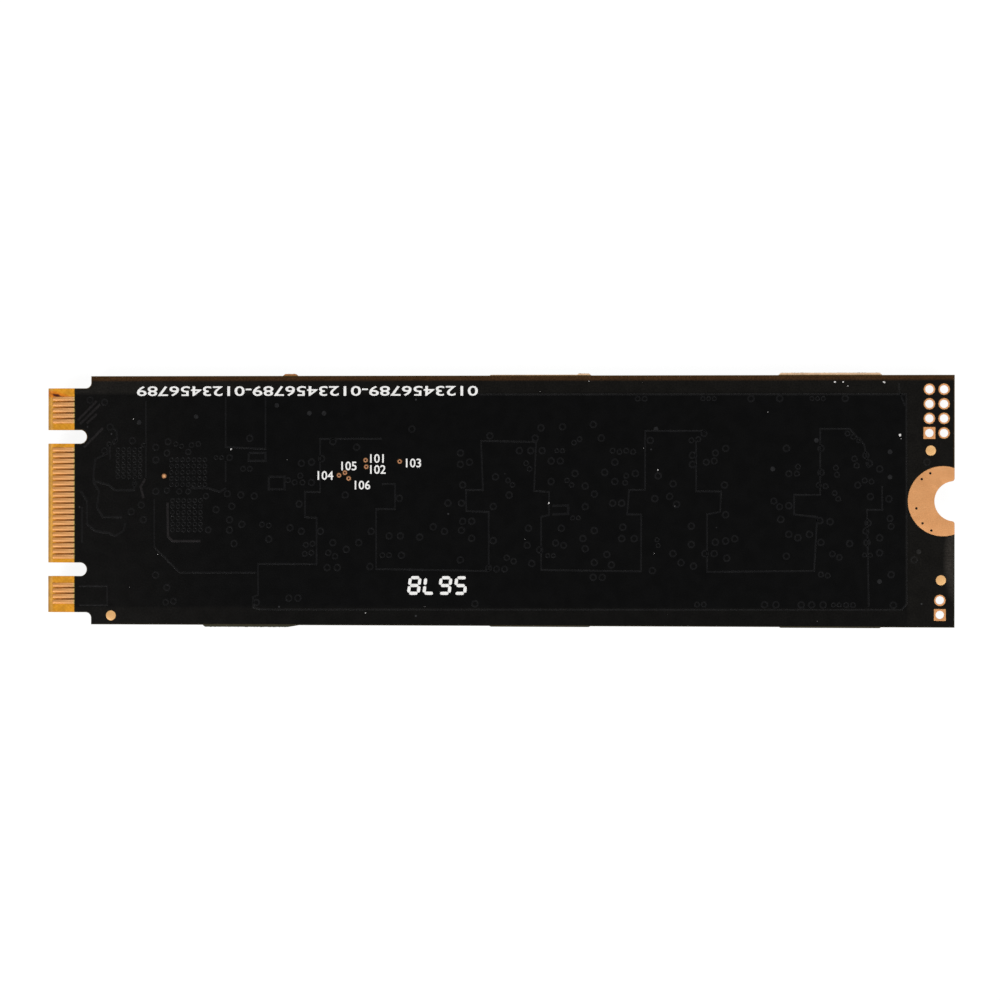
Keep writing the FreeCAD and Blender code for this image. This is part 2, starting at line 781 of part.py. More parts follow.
build_board()
build_packages()
build_power_chip()
build_power_parts()
build_small_parts()
write_parts()
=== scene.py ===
"""Dress the gumstick solid state drive: finishes, fine relief, printed numbers, solder, dust, light, camera.

The solids stay as they are. Sizes are millimetres in the drive's own frame, and MM turns them into metres.
"""

from __future__ import annotations

import json
import logging
import math
import random
from collections.abc import Callable, Sequence
from dataclasses import dataclass, replace
from enum import Enum
from functools import cached_property

import bmesh
import bpy
from mathutils import Matrix, Vector


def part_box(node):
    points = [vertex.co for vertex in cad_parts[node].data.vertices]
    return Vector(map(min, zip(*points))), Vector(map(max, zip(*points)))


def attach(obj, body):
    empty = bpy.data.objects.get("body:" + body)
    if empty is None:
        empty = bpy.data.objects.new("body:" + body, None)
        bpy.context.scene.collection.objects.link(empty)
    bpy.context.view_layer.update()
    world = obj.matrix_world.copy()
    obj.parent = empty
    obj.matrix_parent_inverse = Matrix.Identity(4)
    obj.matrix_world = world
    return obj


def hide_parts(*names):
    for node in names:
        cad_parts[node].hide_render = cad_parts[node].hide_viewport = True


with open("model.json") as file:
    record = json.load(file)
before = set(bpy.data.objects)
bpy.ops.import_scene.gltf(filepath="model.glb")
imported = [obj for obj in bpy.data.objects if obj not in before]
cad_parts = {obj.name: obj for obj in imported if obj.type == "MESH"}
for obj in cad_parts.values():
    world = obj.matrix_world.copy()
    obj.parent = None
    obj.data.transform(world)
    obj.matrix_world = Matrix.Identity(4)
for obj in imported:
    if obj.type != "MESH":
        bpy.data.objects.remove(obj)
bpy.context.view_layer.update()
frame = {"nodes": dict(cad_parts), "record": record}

LOG = logging.getLogger("drive")
MM = 0.001
SAME_POINT = MM / 1000
BANK_BREAK = 0.7
MIX_FIRST, MIX_SECOND, MIX_RESULT = 6, 7, 2

Colour = tuple[float, float, float]
Place = tuple[float, float]
Span = tuple[float, float]
Point = tuple[float, float, float]
Box = tuple[Vector, Vector]
Socket = bpy.types.NodeSocket
Node = bpy.types.Node
Material = bpy.types.Material


class Slot(Enum):
    """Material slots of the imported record."""

    LAMINATE = "laminate"
    MASK = "solder_mask"
    CONTACT = "contact_gold"
    PAD = "pad_gold"
    MOULD = "package_mould"
    SOLDER = "solder"
    TINNED = "tinned_end"
    CAPACITOR = "capacitor_ceramic"
    RESISTOR = "resistor_ceramic"
    INDUCTOR = "inductor_core"
    CRYSTAL_BASE = "crystal_ceramic"
    CRYSTAL_LID = "crystal_metal"
    INK = "legend_ink"


class Extra(Enum):
    """Finishes beside those of the slots."""

    # Painted sheen: the lighter mask tones of the relief, domes and leads.
    RELIEF_SHEEN = "mask_relief_sheen"
    DOME_SHEEN = "mask_dome_sheen"
    LEAD_SHEEN = "mask_lead_sheen"
    DOT = "glint_gold"
    TEST = "test_gold"
    LINT = "lint"


class Pattern(Enum):
    """The two sizes of the grain effect."""

    MOTTLE = "Mottle"
    GRAIN = "Grain"


class Side(Enum):
    """The two faces of the board, as the direction that each looks."""

    BACK = 1
    FRONT = -1


def node_box(node: str) -> Box:
    """Give a solid's lowest and highest corners in millimetres."""
    low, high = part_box(node)
    return low / MM, high / MM


def mask_seam() -> float:
    """Give the place along the board where the back's mask begins, in millimetres."""
    return node_box("solder_mask_back")[0].x


def corners_of(points: Sequence[Vector]) -> Box:
    """Give the lowest and highest corners of a set of points."""
    low, high = (Vector([pick(point[axis] for point in points) for axis in range(3)]) for pick in (min, max))
    return low, high


def node_lumps(node: str) -> list[Box]:
    """Find the separate solids of a node.

    Args:
        node: name of the node.

    Returns:
        The lowest and highest corners of each solid, in millimetres.
    """
    work = bmesh.new()
    work.from_mesh(frame["nodes"][node].data)
    bmesh.ops.remove_doubles(work, verts=work.verts, dist=SAME_POINT)
    waiting = set(work.verts)
    lumps = []
    while waiting:
        queue = [waiting.pop()]
        found = []
        while queue:
            vert = queue.pop()
            found.append(vert.co / MM)
            near = {edge.other_vert(vert) for edge in vert.link_edges} & waiting
            waiting -= near
            queue.extend(near)
        lumps.append(corners_of(found))
    work.free()
    return sorted(lumps, key=lambda lump: tuple(round(value, 3) for value in lump[0]))


def contact_banks() -> list[Span]:
    """Find the banks of edge contacts on the back.

    Returns:
        Where each bank starts and ends across the board, in millimetres.
    """
    middles = sorted((low.y + high.y) / 2 for low, high in node_lumps("edge_contacts_back"))
    banks = [[middles[0], middles[0]]]
    for place in middles[1:]:
        if place - banks[-1][1] > BANK_BREAK:
            banks.append([place, place])
        banks[-1][1] = place
    return [(first, last) for first, last in banks]


def spokes(sides: int) -> list[Place]:
    """Give evenly spread directions round an upright axis."""
    angles = [2 * math.pi * index / sides for index in range(sides)]
    return [(math.cos(angle), math.sin(angle)) for angle in angles]


def opaque(colour: object) -> object:
    """Give a plain colour its alpha, and leave a socket as it is."""
    return (*colour, 1.0) if isinstance(colour, tuple) else colour


class ShaderSheet:
    """Adds and links nodes in one shader tree."""

    def __init__(self, tree: bpy.types.NodeTree) -> None:
        """Start on an empty tree."""
        self.tree = tree
        tree.nodes.clear()

    def feed(self, socket: Socket, value: object) -> None:
        """Feed one input.

        Args:
            socket: the input.
            value: an output to link to it, or a constant.
        """
        if isinstance(value, bpy.types.NodeSocket):
            self.tree.links.new(value, socket)
        else:
            socket.default_value = value

    def add(self, kind: str, inputs: dict[str | int, object] | None = None, **settings: object) -> Node:
        """Add a node.

        Args:
            kind: node type without the ShaderNode prefix.
            inputs: constants or output sockets by input name or number.
            settings: plain attributes of the node.

        Returns:
            The new node.
        """
        node = self.tree.nodes.new(f"ShaderNode{kind}")
        for name, value in settings.items():
            setattr(node, name, value)
        for name, value in (inputs or {}).items():
            self.feed(node.inputs[name], value)
        return node

    def math(self, operation: str, first: object, second: object = 0.0) -> Socket:
        """Give the output of a Math node on two values."""
        return self.add("Math", {0: first, 1: second}, operation=operation).outputs[0]

    def times(self, first: object, second: object) -> Socket:
        """Give the product of two values."""
        return self.math("MULTIPLY", first, second)

    def most(self, first: object, second: object) -> Socket:
        """Give the larger of two values."""
        return self.math("MAXIMUM", first, second)

    def ramp(self, value: object, start: float, end: float) -> Socket:
        """Give a mask that rises smoothly from 0 at start to 1 at end, which may lie below start."""
        inputs = {"Value": value, "From Min": start, "From Max": end}
        return self.add("MapRange", inputs, interpolation_type="SMOOTHSTEP").outputs[0]

    def remap(self, mask: object, low: float, high: float) -> Socket:
        """Give a value that runs from low to high with a mask."""
        return self.add("MapRange", {"Value": mask, "To Min": low, "To Max": high}).outputs[0]

    def wave(self, value: object, pitch: float) -> Socket:
        """Give a sine of a value that repeats at a pitch."""
        return self.math("SINE", self.times(value, 2 * math.pi / pitch))

    def away(self, value: object, shifts: Sequence[object], reaches: Span) -> Socket:
        """Add to a value how far a place is from the middle of an ellipse.

        Args:
            value: what the distance is added to.
            shifts: distances from the middle along each axis.
            reaches: radii of the ellipse.

        Returns:
            The value with the squared distance, which is 1 on the ellipse.
        """
        for shift, reach in zip(shifts, reaches):
            share = self.math("DIVIDE", shift, reach)
            value = self.math("ADD", value, self.times(share, share))
        return value

    def blend(
        self, mask: object, first: object, second: object, share: float = 1.0, way: str = "MIX"
    ) -> Socket:
        """Mix two colours.

        Args:
            mask: value from 0 to 1.
            first: colour at mask 0.
            second: colour that mask 1 leads to.
            share: how much of the second colour comes through.
            way: Blender's name for the kind of mixing.

        Returns:
            The mixed colour.
        """
        factor = mask if share == 1.0 else self.times(mask, share)
        inputs = {0: factor, MIX_FIRST: opaque(first), MIX_SECOND: opaque(second)}
        return self.add("Mix", inputs, data_type="RGBA", blend_type=way).outputs[MIX_RESULT]

    def scaled(self, colour: object, mask: object, low: float, high: float) -> Socket:
        """Make a colour darker or lighter by a mask.

        Args:
            colour: the colour to vary.
            mask: value from 0 to 1.
            low: brightness at mask 0.
            high: brightness at mask 1.

        Returns:
            The varied colour.
        """
        gain = self.remap(mask, low, high)
        grey = self.add("CombineColor", {0: gain, 1: gain, 2: gain}).outputs[0]
        return self.blend(1.0, colour, grey, way="MULTIPLY")

    def group(self, tree: bpy.types.NodeTree, **values: float) -> Sequence[Socket]:
        """Place a shared effect with its own values, and give its outputs."""
        return self.add("Group", values, node_tree=tree).outputs


class SharedEffects:
    """Shader groups that several finishes use, each built once."""

    mottle_detail: float = 3.0
    mottle_fade: Span = (0.3, 0.7)
    grain_detail: float = 2.0
    grain_fade: Span = (0.25, 0.75)
    dot_fade: Span = (0.16, 0.05)
    line_detail: float = 2.0
    line_fade: Span = (0.55, 0.7)

    def __init__(self) -> None:
        """Build every group."""
        self.position = self._make("board_position", [], ["Along", "Across", "Height"], self._position)
        patterns = [part.value for part in Pattern]
        self.grain = self._make("surface_grain", ["Coarse", "Fine"], patterns, self._grain)
        self.dust = self._make("settled_dust", ["Cells", "Share"], ["Mask"], self._dust)
        self.scratch = self._make("fine_scratches", ["Length", "Width"], ["Mask"], self._scratch)

    @staticmethod
    def _make(
        name: str,
        inputs: Sequence[str],
        outputs: Sequence[str],
        fill: Callable[..., Sequence[Socket]],
    ) -> bpy.types.NodeTree:
        """Make a group with float sockets.

        Args:
            name: name of the group.
            inputs: names of its inputs.
            outputs: names of its outputs.
            fill: adds the inner nodes to a sheet and gives one socket for each output.

        Returns:
            The group's tree.
        """
        tree = bpy.data.node_groups.new(name, "ShaderNodeTree")
        sheet = ShaderSheet(tree)
        for way, sockets in (("INPUT", inputs), ("OUTPUT", outputs)):
            for socket in sockets:
                tree.interface.new_socket(socket, in_out=way, socket_type="NodeSocketFloat")
        source = tree.nodes.new("NodeGroupInput")
        place = sheet.add("TexCoord").outputs["Object"]
        results = fill(sheet, place, *(source.outputs[socket] for socket in inputs))
        sink = tree.nodes.new("NodeGroupOutput")
        for socket, result in zip(outputs, results):
            tree.links.new(result, sink.inputs[socket])
        return tree

    @staticmethod
    def _position(sheet: ShaderSheet, place: Socket) -> list[Socket]:
        """Give the place on the drive in millimetres."""
        scaled = sheet.add("VectorMath", {0: place, "Scale": 1 / MM}, operation="SCALE").outputs[0]
        return list(sheet.add("SeparateXYZ", {0: scaled}).outputs)

    def _grain(self, sheet: ShaderSheet, place: Socket, coarse: Socket, fine: Socket) -> list[Socket]:
        """Draw broad mottling and fine grain.

        Args:
            sheet: the group's nodes.
            place: the place on the drive in metres.
            coarse: patches to a metre.
            fine: grains to a metre.

        Returns:
            The two patterns, each from 0 to 1.
        """
        patterns = []
        for scale, detail, fade in (
            (coarse, self.mottle_detail, self.mottle_fade),
            (fine, self.grain_detail, self.grain_fade),
        ):
            noise = sheet.add("TexNoise", {"Vector": place, "Scale": scale, "Detail": detail}).outputs[0]
            patterns.append(sheet.ramp(noise, *fade))
        return patterns

    def _dust(self, sheet: ShaderSheet, place: Socket, cells: Socket, share: Socket) -> list[Socket]:
        """Draw small soft dots.

        Args:
            sheet: the group's nodes.
            place: the place on the drive in metres.
            cells: cells of a scattered pattern to a metre.
            share: share of the cells that hold a dot.

        Returns:
            The mask of the dots.
        """
        scatter = sheet.add("TexVoronoi", {"Vector": place, "Scale": cells}).outputs
        lot = sheet.add("SeparateColor", {0: scatter["Color"]}).outputs[0]
        chosen = sheet.math("LESS_THAN", lot, share)
        return [sheet.times(sheet.ramp(scatter["Distance"], *self.dot_fade), chosen)]

    def _scratch(self, sheet: ShaderSheet, place: Socket, length: Socket, width: Socket) -> list[Socket]:
        """Draw thin lines along the board.

        Args:
            sheet: the group's nodes.
            place: the place on the drive in metres.
            length: lines to a metre along the board.
            width: lines to a metre across it.

        Returns:
            The mask of the lines.
        """
        stretch = sheet.add("CombineXYZ", {0: length, 1: width, 2: length}).outputs[0]
        drawn = sheet.add("VectorMath", {0: place, 1: stretch}, operation="MULTIPLY").outputs[0]
        inputs = {"Vector": drawn, "Scale": 1.0, "Detail": self.line_detail}
        return [sheet.ramp(sheet.add("TexNoise", inputs).outputs[0], *self.line_fade)]


class Surface(ShaderSheet):
    """The nodes of one finish, with the shared effects at hand."""

    def __init__(self, tree: bpy.types.NodeTree, effects: SharedEffects, scales: Span) -> None:
        """Place the grain in an empty tree.

        Args:
            tree: the material's tree.
            effects: the shared shader groups.
            scales: patches and grains to a metre.
        """
        super().__init__(tree)
        self.effects = effects
        grain = self.group(effects.grain, Coarse=scales[0], Fine=scales[1])
        self.pattern = {part: grain[part.value] for part in Pattern}

    @cached_property
    def place(self) -> list[Socket]:
        """Give the place on the drive in millimetres: along, across and height."""
        return list(self.group(self.effects.position))

    def scratches(self, scales: Span) -> Socket:
        """Give fine scratches, by how many there are to a metre along and across the board."""
        return self.group(self.effects.scratch, Length=scales[0], Width=scales[1])[0]


@dataclass(frozen=True)
class Specks:
    """Small soft dots over a finish."""

    tone: Colour
    cells: float
    share: float
    strength: float


@dataclass(frozen=True)
class Finish:
    """A surface finish: a tone varied by grain and specks, with its roughness and fine relief."""

    tone: Colour
    roughness: float
    specks: Specks | None = None
    grain_scales: Span = (1800.0, 12000.0)
    mottle_span: Span | None = None
    grain_span: Span | None = None
    rough_by: Pattern = Pattern.GRAIN
    rough_span: Span = (-0.08, 0.1)
    relief_depth: float = 0.004
    relief_share: float = 0.4
    metal: float = 0.0
    gloss: float = 0.5

    def build(self, name: str, effects: SharedEffects) -> Material:
        """Make the material.

        Args:
            name: name of the material.
            effects: the shared shader groups.

        Returns:
            The finished material.
        """
        material = bpy.data.materials.new(name)
        material.use_nodes = True
        surface = Surface(material.node_tree, effects, self.grain_scales)
        shader = surface.add("BsdfPrincipled", {"Metallic": self.metal, "Specular IOR Level": self.gloss})
        surface.add("OutputMaterial", {"Surface": shader.outputs[0]})
        surface.feed(shader.inputs["Base Color"], opaque(self.varied(surface)))
        low, high = (self.roughness + shift for shift in self.rough_span)
        surface.feed(shader.inputs["Roughness"], surface.remap(surface.pattern[self.rough_by], low, high))
        relief = {"Distance": self.relief_depth * MM, "Strength": self.relief_share}
        bump = surface.add("Bump", {"Height": self.height(surface), **relief})
        surface.feed(shader.inputs["Normal"], bump.outputs[0])
        return material

    def varied(self, surface: Surface) -> object:
        """Vary the finish's colour by its grain and specks.

        Args:
            surface: the material's nodes.

        Returns:
            The colour to show.
        """
        tone = self.colour(surface)
        for part, span in ((Pattern.MOTTLE, self.mottle_span), (Pattern.GRAIN, self.grain_span)):
            if span:
                tone = surface.scaled(tone, surface.pattern[part], *span)
        if self.specks:
            dots = surface.group(surface.effects.dust, Cells=self.specks.cells, Share=self.specks.share)
            tone = surface.blend(dots[0], tone, self.specks.tone, self.specks.strength)
        return tone

    def colour(self, surface: Surface) -> object:
        """Give the colour before grain and specks. The plain finish has one tone all over."""
        return self.tone

    def height(self, surface: Surface) -> Socket:
        """Give the mask of the fine relief."""
        return surface.pattern[Pattern.GRAIN]


@dataclass(frozen=True)
class MaskFinish(Finish):
    """Black solder mask, darkest over copper and warmer where bare laminate lies beneath, with painted light
    making it lighter towards the left end.
    """

    specks: Specks | None = Specks((0.1, 0.1, 0.105), 1400.0, 0.015, 0.4)
    grain_scales: Span = (900.0, 7000.0)
    mottle_span: Span | None = (0.9, 1.1)
    grain_span: Span | None = (0.6, 1.4)
    rough_by: Pattern = Pattern.MOTTLE
    rough_span: Span = (-0.012, 0.012)
    relief_depth: float = 0.006
    gloss: float = 0.2
    bare_tone: Colour = (0.0052, 0.0046, 0.0038)
    # Painted light: lit_tone is the lighter tone painted in towards the left end.
    lit_tone: Colour = (0.0108, 0.0097, 0.0084)
    seam_tone: Colour = (0.03, 0.03, 0.006)
    rim_tone: Colour = (0.044, 0.019, 0.0055)
    # Painted sheen: the lighter tone of an oval patch at the screw end.
    screw_end_sheen_tone: Colour = (0.027, 0.0235, 0.02)
    thin_share: float = 0.22
    lower_share: float = 0.5
    copper_half_width: float = 9.4
    copper_end: float = 35.85
    edge_softness: float = 0.25
    seam_width: float = 0.1
    rim_span: Span = (10.45, 10.72)
    sheen_place: Place = (40.0, -5.2)
    sheen_reach: Span = (1.1, 4.0)
    sheen_fade: Span = (1.0, 0.1)
    light_end: float = -37.0
    dark_start: float = -18.0

    def colour(self, surface: Surface) -> Socket:
        """Colour the mask by what lies beneath it, paint light in towards the left end, and add its seam, a
        painted sheen patch at the screw end and warm rim.

        Args:
            surface: the material's nodes.

        Returns:
            The mask's colour.
        """
        along, across, _ = surface.place
        # Painted light: the mask turns lighter towards the left end, and thin_share sets how much of this
        # painted light shows.
        left_light = surface.ramp(along, self.dark_start, self.light_end)
        bare_and_lit = surface.times(left_light, self.thin_share)
        inner, outer = (self.copper_half_width + way * self.edge_softness for way in (-1, 1))
        first, last = (self.copper_end + way * self.edge_softness for way in (-1, 1))
        lower = surface.times(surface.ramp(across, -inner, -outer), self.lower_share)
        for mask in (lower, surface.ramp(across, inner, outer), surface.ramp(along, first, last)):
            bare_and_lit = surface.most(bare_and_lit, mask)
        tone = surface.blend(bare_and_lit, self.tone, surface.blend(left_light, self.bare_tone, self.lit_tone))
        seam = mask_seam()
        # Painted sheen: a lighter oval patch at the screw end.
        pairs = zip((along, across), self.sheen_place)
        shifts = [surface.math("SUBTRACT", axis, middle) for axis, middle in pairs]
        sheen_patch = surface.ramp(surface.away(0.0, shifts, self.sheen_reach), *self.sheen_fade)
        for mask, over in (
            (surface.ramp(along, seam + self.seam_width, seam), self.seam_tone),
            (sheen_patch, self.screw_end_sheen_tone),
            (surface.ramp(across, *self.rim_span), self.rim_tone),
        ):
            tone = surface.blend(mask, tone, over)
        return tone


@dataclass(frozen=True)
class GoldFinish(Finish):
    """Gold plating over copper, with wipe marks along the board, a painted highlight before the mask seam
    and an olive seam where the mask begins.
    """

    grain_scales: Span = (900.0, 16000.0)
    grain_span: Span | None = (0.92, 1.08)
    relief_depth: float = 0.003
    metal: float = 0.35
    worn_tone: Colour = (0.62, 0.27, 0.09)
    worn_share: float = 0.3
    # Painted highlight: the lighter tone of the band before the mask seam, also used for the real wipe
    # marks.
    highlight_and_wipe_tone: Colour = (0.92, 0.58, 0.3)
    highlight_reach: float = 1.5
    highlight_share: float = 0.22
    seam_tone: Colour = (0.5, 0.46, 0.12)
    seam_width: float = 0.16
    seam_share: float = 0.6
    scratch_scales: Span = (500.0, 26000.0)
    scratch_share: float = 0.35

    def colour(self, surface: Surface) -> Socket:
        """Colour the plating with worn patches, wipe marks, the painted highlight before the seam and the
        seam.

        Args:
            surface: the material's nodes.

        Returns:
            The plating's colour.
        """
        tone = surface.blend(surface.pattern[Pattern.MOTTLE], self.tone, self.worn_tone, self.worn_share)
        marks = surface.scratches(self.scratch_scales)
        tone = surface.blend(marks, tone, self.highlight_and_wipe_tone, self.scratch_share)
        along, seam = surface.place[0], mask_seam()
        ahead = surface.math("LESS_THAN", along, seam + self.seam_width)
        # Painted highlight: the plating turns lighter over the last stretch before the mask seam.
        for reach, share, over in (
            (self.highlight_reach, self.highlight_share, self.highlight_and_wipe_tone),
            (self.seam_width, self.seam_share, self.seam_tone),
        ):
            near = surface.times(surface.ramp(along, seam - reach, seam), ahead)
            tone = surface.blend(near, tone, over, share)
        return tone


@dataclass(frozen=True)
class LaminateFinish(Finish):
    """Bare glass-fibre laminate: amber resin, woven bundles, layered routed sides and torn tabs."""

    grain_scales: Span = (1500.0, 14000.0)
    mottle_span: Span | None = (0.85, 1.12)
    grain_span: Span | None = (0.9, 1.1)
    rough_span: Span = (-0.1, 0.15)
    relief_depth: float = 0.008
    relief_share: float = 0.5
    gloss: float = 0.25
    lead_tone: Colour = (0.74, 0.36, 0.06)
    lead_softness: float = 0.1
    bundle_tone: Colour = (0.8, 0.37, 0.03)
    bundle_pitch: float = 0.42
    bundle_share: float = 0.4
    bundle_lift: float = 0.5
    weave_fade: Span = (-0.6, 0.8)
    # Painted shade: tones for the slits between contacts, darker towards the mask seam.
    gap_shade_tone: Colour = (0.4, 0.13, 0.012)
    deep_gap_shade_tone: Colour = (0.15, 0.05, 0.004)
    gap_shade_fade: Span = (-0.05, 0.4)
    gap_shade_depth: float = 0.2
    rim_tone: Colour = (0.085, 0.048, 0.012)
    dull_rim_tone: Colour = (0.03, 0.024, 0.01)
    rim_softness: float = 0.02
    side_tone: Colour = (0.16, 0.085, 0.032)
    side_slope: Span = (0.5, 0.25)
    layer_pitch: float = 0.12
    layer_fade: Span = (-0.4, 0.8)
    layer_span: Span = (0.55, 1.5)
    tear_tone: Colour = (0.74, 0.5, 0.31)
    brown_tear_tone: Colour = (0.46, 0.19, 0.055)
    dull_tear_tone: Colour = (0.034, 0.034, 0.015)
    tear_slope: Span = (0.6, 0.3)
    tear_fade: Span = (11.01, 11.06)
    brown_fade: Span = (-10.0, -11.0)
    contact_start: float = -39.55
    smear_tone: Colour = (0.075, 0.009, 0.002)
    smear_place: Place = (-39.24, 9.3)
    smear_reach: Span = (0.5, 0.13)
    smear_slope: float = 0.22
    smear_breakup: float = 1.3
    smear_fade: Span = (2.2, 0.7)
    halo_tone: Colour = (0.78, 0.2, 0.006)
    halo_share: float = 0.85
    halo_fade: Span = (12.0, 1.5)

    def colour(self, surface: Surface) -> Socket:
        """Colour the resin with its weave, painted shade in the slits, burnt spot, layers and tears.

        Args:
            surface: the material's nodes.

        Returns:
            The laminate's colour.
        """
        tone = surface.blend(self._weave(surface), self.tone, self.bundle_tone, self.bundle_share)
        first, last = (self.contact_start + way * self.lead_softness for way in (1, -1))
        tone = surface.blend(surface.ramp(surface.place[0], first, last), tone, self.lead_tone)
        for step in (self._gap_shade, self._smear, self._sides, self._tears):
            tone = step(surface, tone)
        return tone

    def height(self, surface: Surface) -> Socket:
        """Add the bundles to the fine relief."""
        lift = surface.times(self._weave(surface), self.bundle_lift)
        return surface.math("ADD", lift, surface.pattern[Pattern.GRAIN])

    def _weave(self, surface: Surface) -> Socket:
        """Give the crossing glass bundles as a mask."""
        waves = [surface.wave(axis, self.bundle_pitch) for axis in surface.place[:2]]
        return surface.ramp(surface.times(*waves), *self.weave_fade)

    def _gap_shade(self, surface: Surface, tone: Socket) -> Socket:
        """Paint shade into the slits between the contacts of each bank, darker towards the mask seam.

        Args:
            surface: the material's nodes.
            tone: the colour so far.

        Returns:
            The colour with the painted shade in the slits.
        """
        along, across, _ = surface.place
        inside = 0.0
        for first, last in contact_banks():
            after = surface.math("GREATER_THAN", across, first)
            inside = surface.most(inside, surface.times(after, surface.math("LESS_THAN", across, last)))
        # Painted shade: darken the slits, more deeply towards the mask seam.
        begun = surface.ramp(along, *(self.contact_start + shift for shift in self.gap_shade_fade))
        deep_shade = surface.ramp(along, self.contact_start + self.gap_shade_depth, mask_seam())
        gap_shade = surface.blend(deep_shade, self.gap_shade_tone, self.deep_gap_shade_tone)
        return surface.blend(surface.times(inside, begun), tone, gap_shade)

    def _smear(self, surface: Surface, tone: Socket) -> Socket:
        """Add a burnt spot with an orange halo, broken up by the mottling.

        Args:
            surface: the material's nodes.
            tone: the colour so far.

        Returns:
            The colour with the spot.
        """
        pairs = zip(surface.place, self.smear_place)
        ahead, aside = (surface.math("SUBTRACT", axis, middle) for axis, middle in pairs)
        aside = surface.math("ADD", aside, surface.times(ahead, self.smear_slope))
        broken = surface.times(surface.pattern[Pattern.MOTTLE], self.smear_breakup)
        far = surface.away(broken, (ahead, aside), self.smear_reach)
        tone = surface.blend(surface.ramp(far, *self.halo_fade), tone, self.halo_tone, self.halo_share)
        return surface.blend(surface.ramp(far, *self.smear_fade), tone, self.smear_tone)

    def _sides(self, surface: Surface, tone: Socket) -> Socket:
        """Darken the rim beside the mask and the layered routed sides.

        Args:
            surface: the material's nodes.
            tone: the colour so far.

        Returns:
            The colour with the sides.
        """
        along, _, height = surface.place
        rim = surface.blend(self._upper(surface), self.dull_rim_tone, self.rim_tone)
        first, last = (mask_seam() + way * self.rim_softness for way in (-1, 1))
        tone = surface.blend(surface.ramp(along, first, last), tone, rim)
        layer = surface.ramp(surface.wave(height, self.layer_pitch), *self.layer_fade)
        layered = surface.scaled(self.side_tone, layer, *self.layer_span)
        return surface.blend(surface.ramp(self._flatness(surface), *self.side_slope), tone, layered)

    def _tears(self, surface: Surface, tone: Socket) -> Socket:
        """Colour what was torn beyond the routed sides.

        Args:
            surface: the material's nodes.
            tone: the colour so far.

        Returns:
            The colour with the tears.
        """
        along, across, _ = surface.place
        pale = surface.blend(surface.ramp(along, *self.brown_fade), self.tear_tone, self.brown_tear_tone)
        steep = surface.ramp(self._flatness(surface), *self.tear_slope)
        dull = surface.blend(steep, self.dull_tear_tone, self.brown_tear_tone)
        torn = surface.ramp(surface.math("ABSOLUTE", across), *self.tear_fade)
        return surface.blend(torn, tone, surface.blend(self._upper(surface), dull, pale))

    @staticmethod
    def _upper(surface: Surface) -> Socket:
        """Tell which long side a place is on."""
        return surface.math("GREATER_THAN", surface.place[1], 0.0)

    @staticmethod
    def _flatness(surface: Surface) -> Socket:
        """Give 1 on a level face and 0 on an upright one."""
        normal = surface.add("NewGeometry").outputs["Normal"]
        return surface.math("ABSOLUTE", surface.add("SeparateXYZ", {0: normal}).outputs[2])


@dataclass(frozen=True)
class CeramicFinish(Finish):
    """Fired ceramic, pressed powder or moulding compound, speckled with a second tone."""

    specks: Specks | None = Specks((0.5, 0.4, 0.3), 7000.0, 0.2, 0.5)
    mottle_span: Span | None = (0.8, 1.2)
    relief_depth: float = 0.006
    relief_share: float = 0.5


@dataclass(frozen=True)
class MetalFinish(Finish):
    """Solder, tin or plated steel."""

    grain_scales: Span = (2500.0, 15000.0)
    rough_by: Pattern = Pattern.MOTTLE
    rough_span: Span = (-0.08, 0.16)
    metal: float = 0.9
    dull_tone: Colour = (0.35, 0.35, 0.36)
    dull_share: float = 0.55
    scratch_scales: Span = (2500.0, 9000.0)
    scratch_span: Span = (1.0, 1.15)

    def colour(self, surface: Surface) -> Socket:
        """Colour the metal with its dull patches and scratches."""
        tone = surface.blend(surface.pattern[Pattern.MOTTLE], self.tone, self.dull_tone, self.dull_share)
        return surface.scaled(tone, surface.scratches(self.scratch_scales), *self.scratch_span)


@dataclass(frozen=True)
class InkFinish(Finish):
    """Printed ink or lint: pale, matte and uneven."""

    grain_scales: Span = (3000.0, 18000.0)
    grain_span: Span | None = (0.94, 1.04)
    rough_span: Span = (-0.1, 0.1)
    relief_share: float = 0.5
    thin_tone: Colour = (0.6, 0.59, 0.57)
    thin_fade: Span = (0.55, 1.0)
    thin_share: float = 0.35

    def colour(self, surface: Surface) -> Socket:
        """Colour the ink with its thin patches."""
        thin = surface.ramp(surface.pattern[Pattern.MOTTLE], *self.thin_fade)
        return surface.blend(thin, self.tone, self.thin_tone, self.thin_share)


def ceramic(tone: Colour, roughness: float, speck_tone: Colour) -> CeramicFinish:
    """Give a ceramic with specks of its own tone."""
    return CeramicFinish(tone, roughness, replace(CeramicFinish.specks, tone=speck_tone))


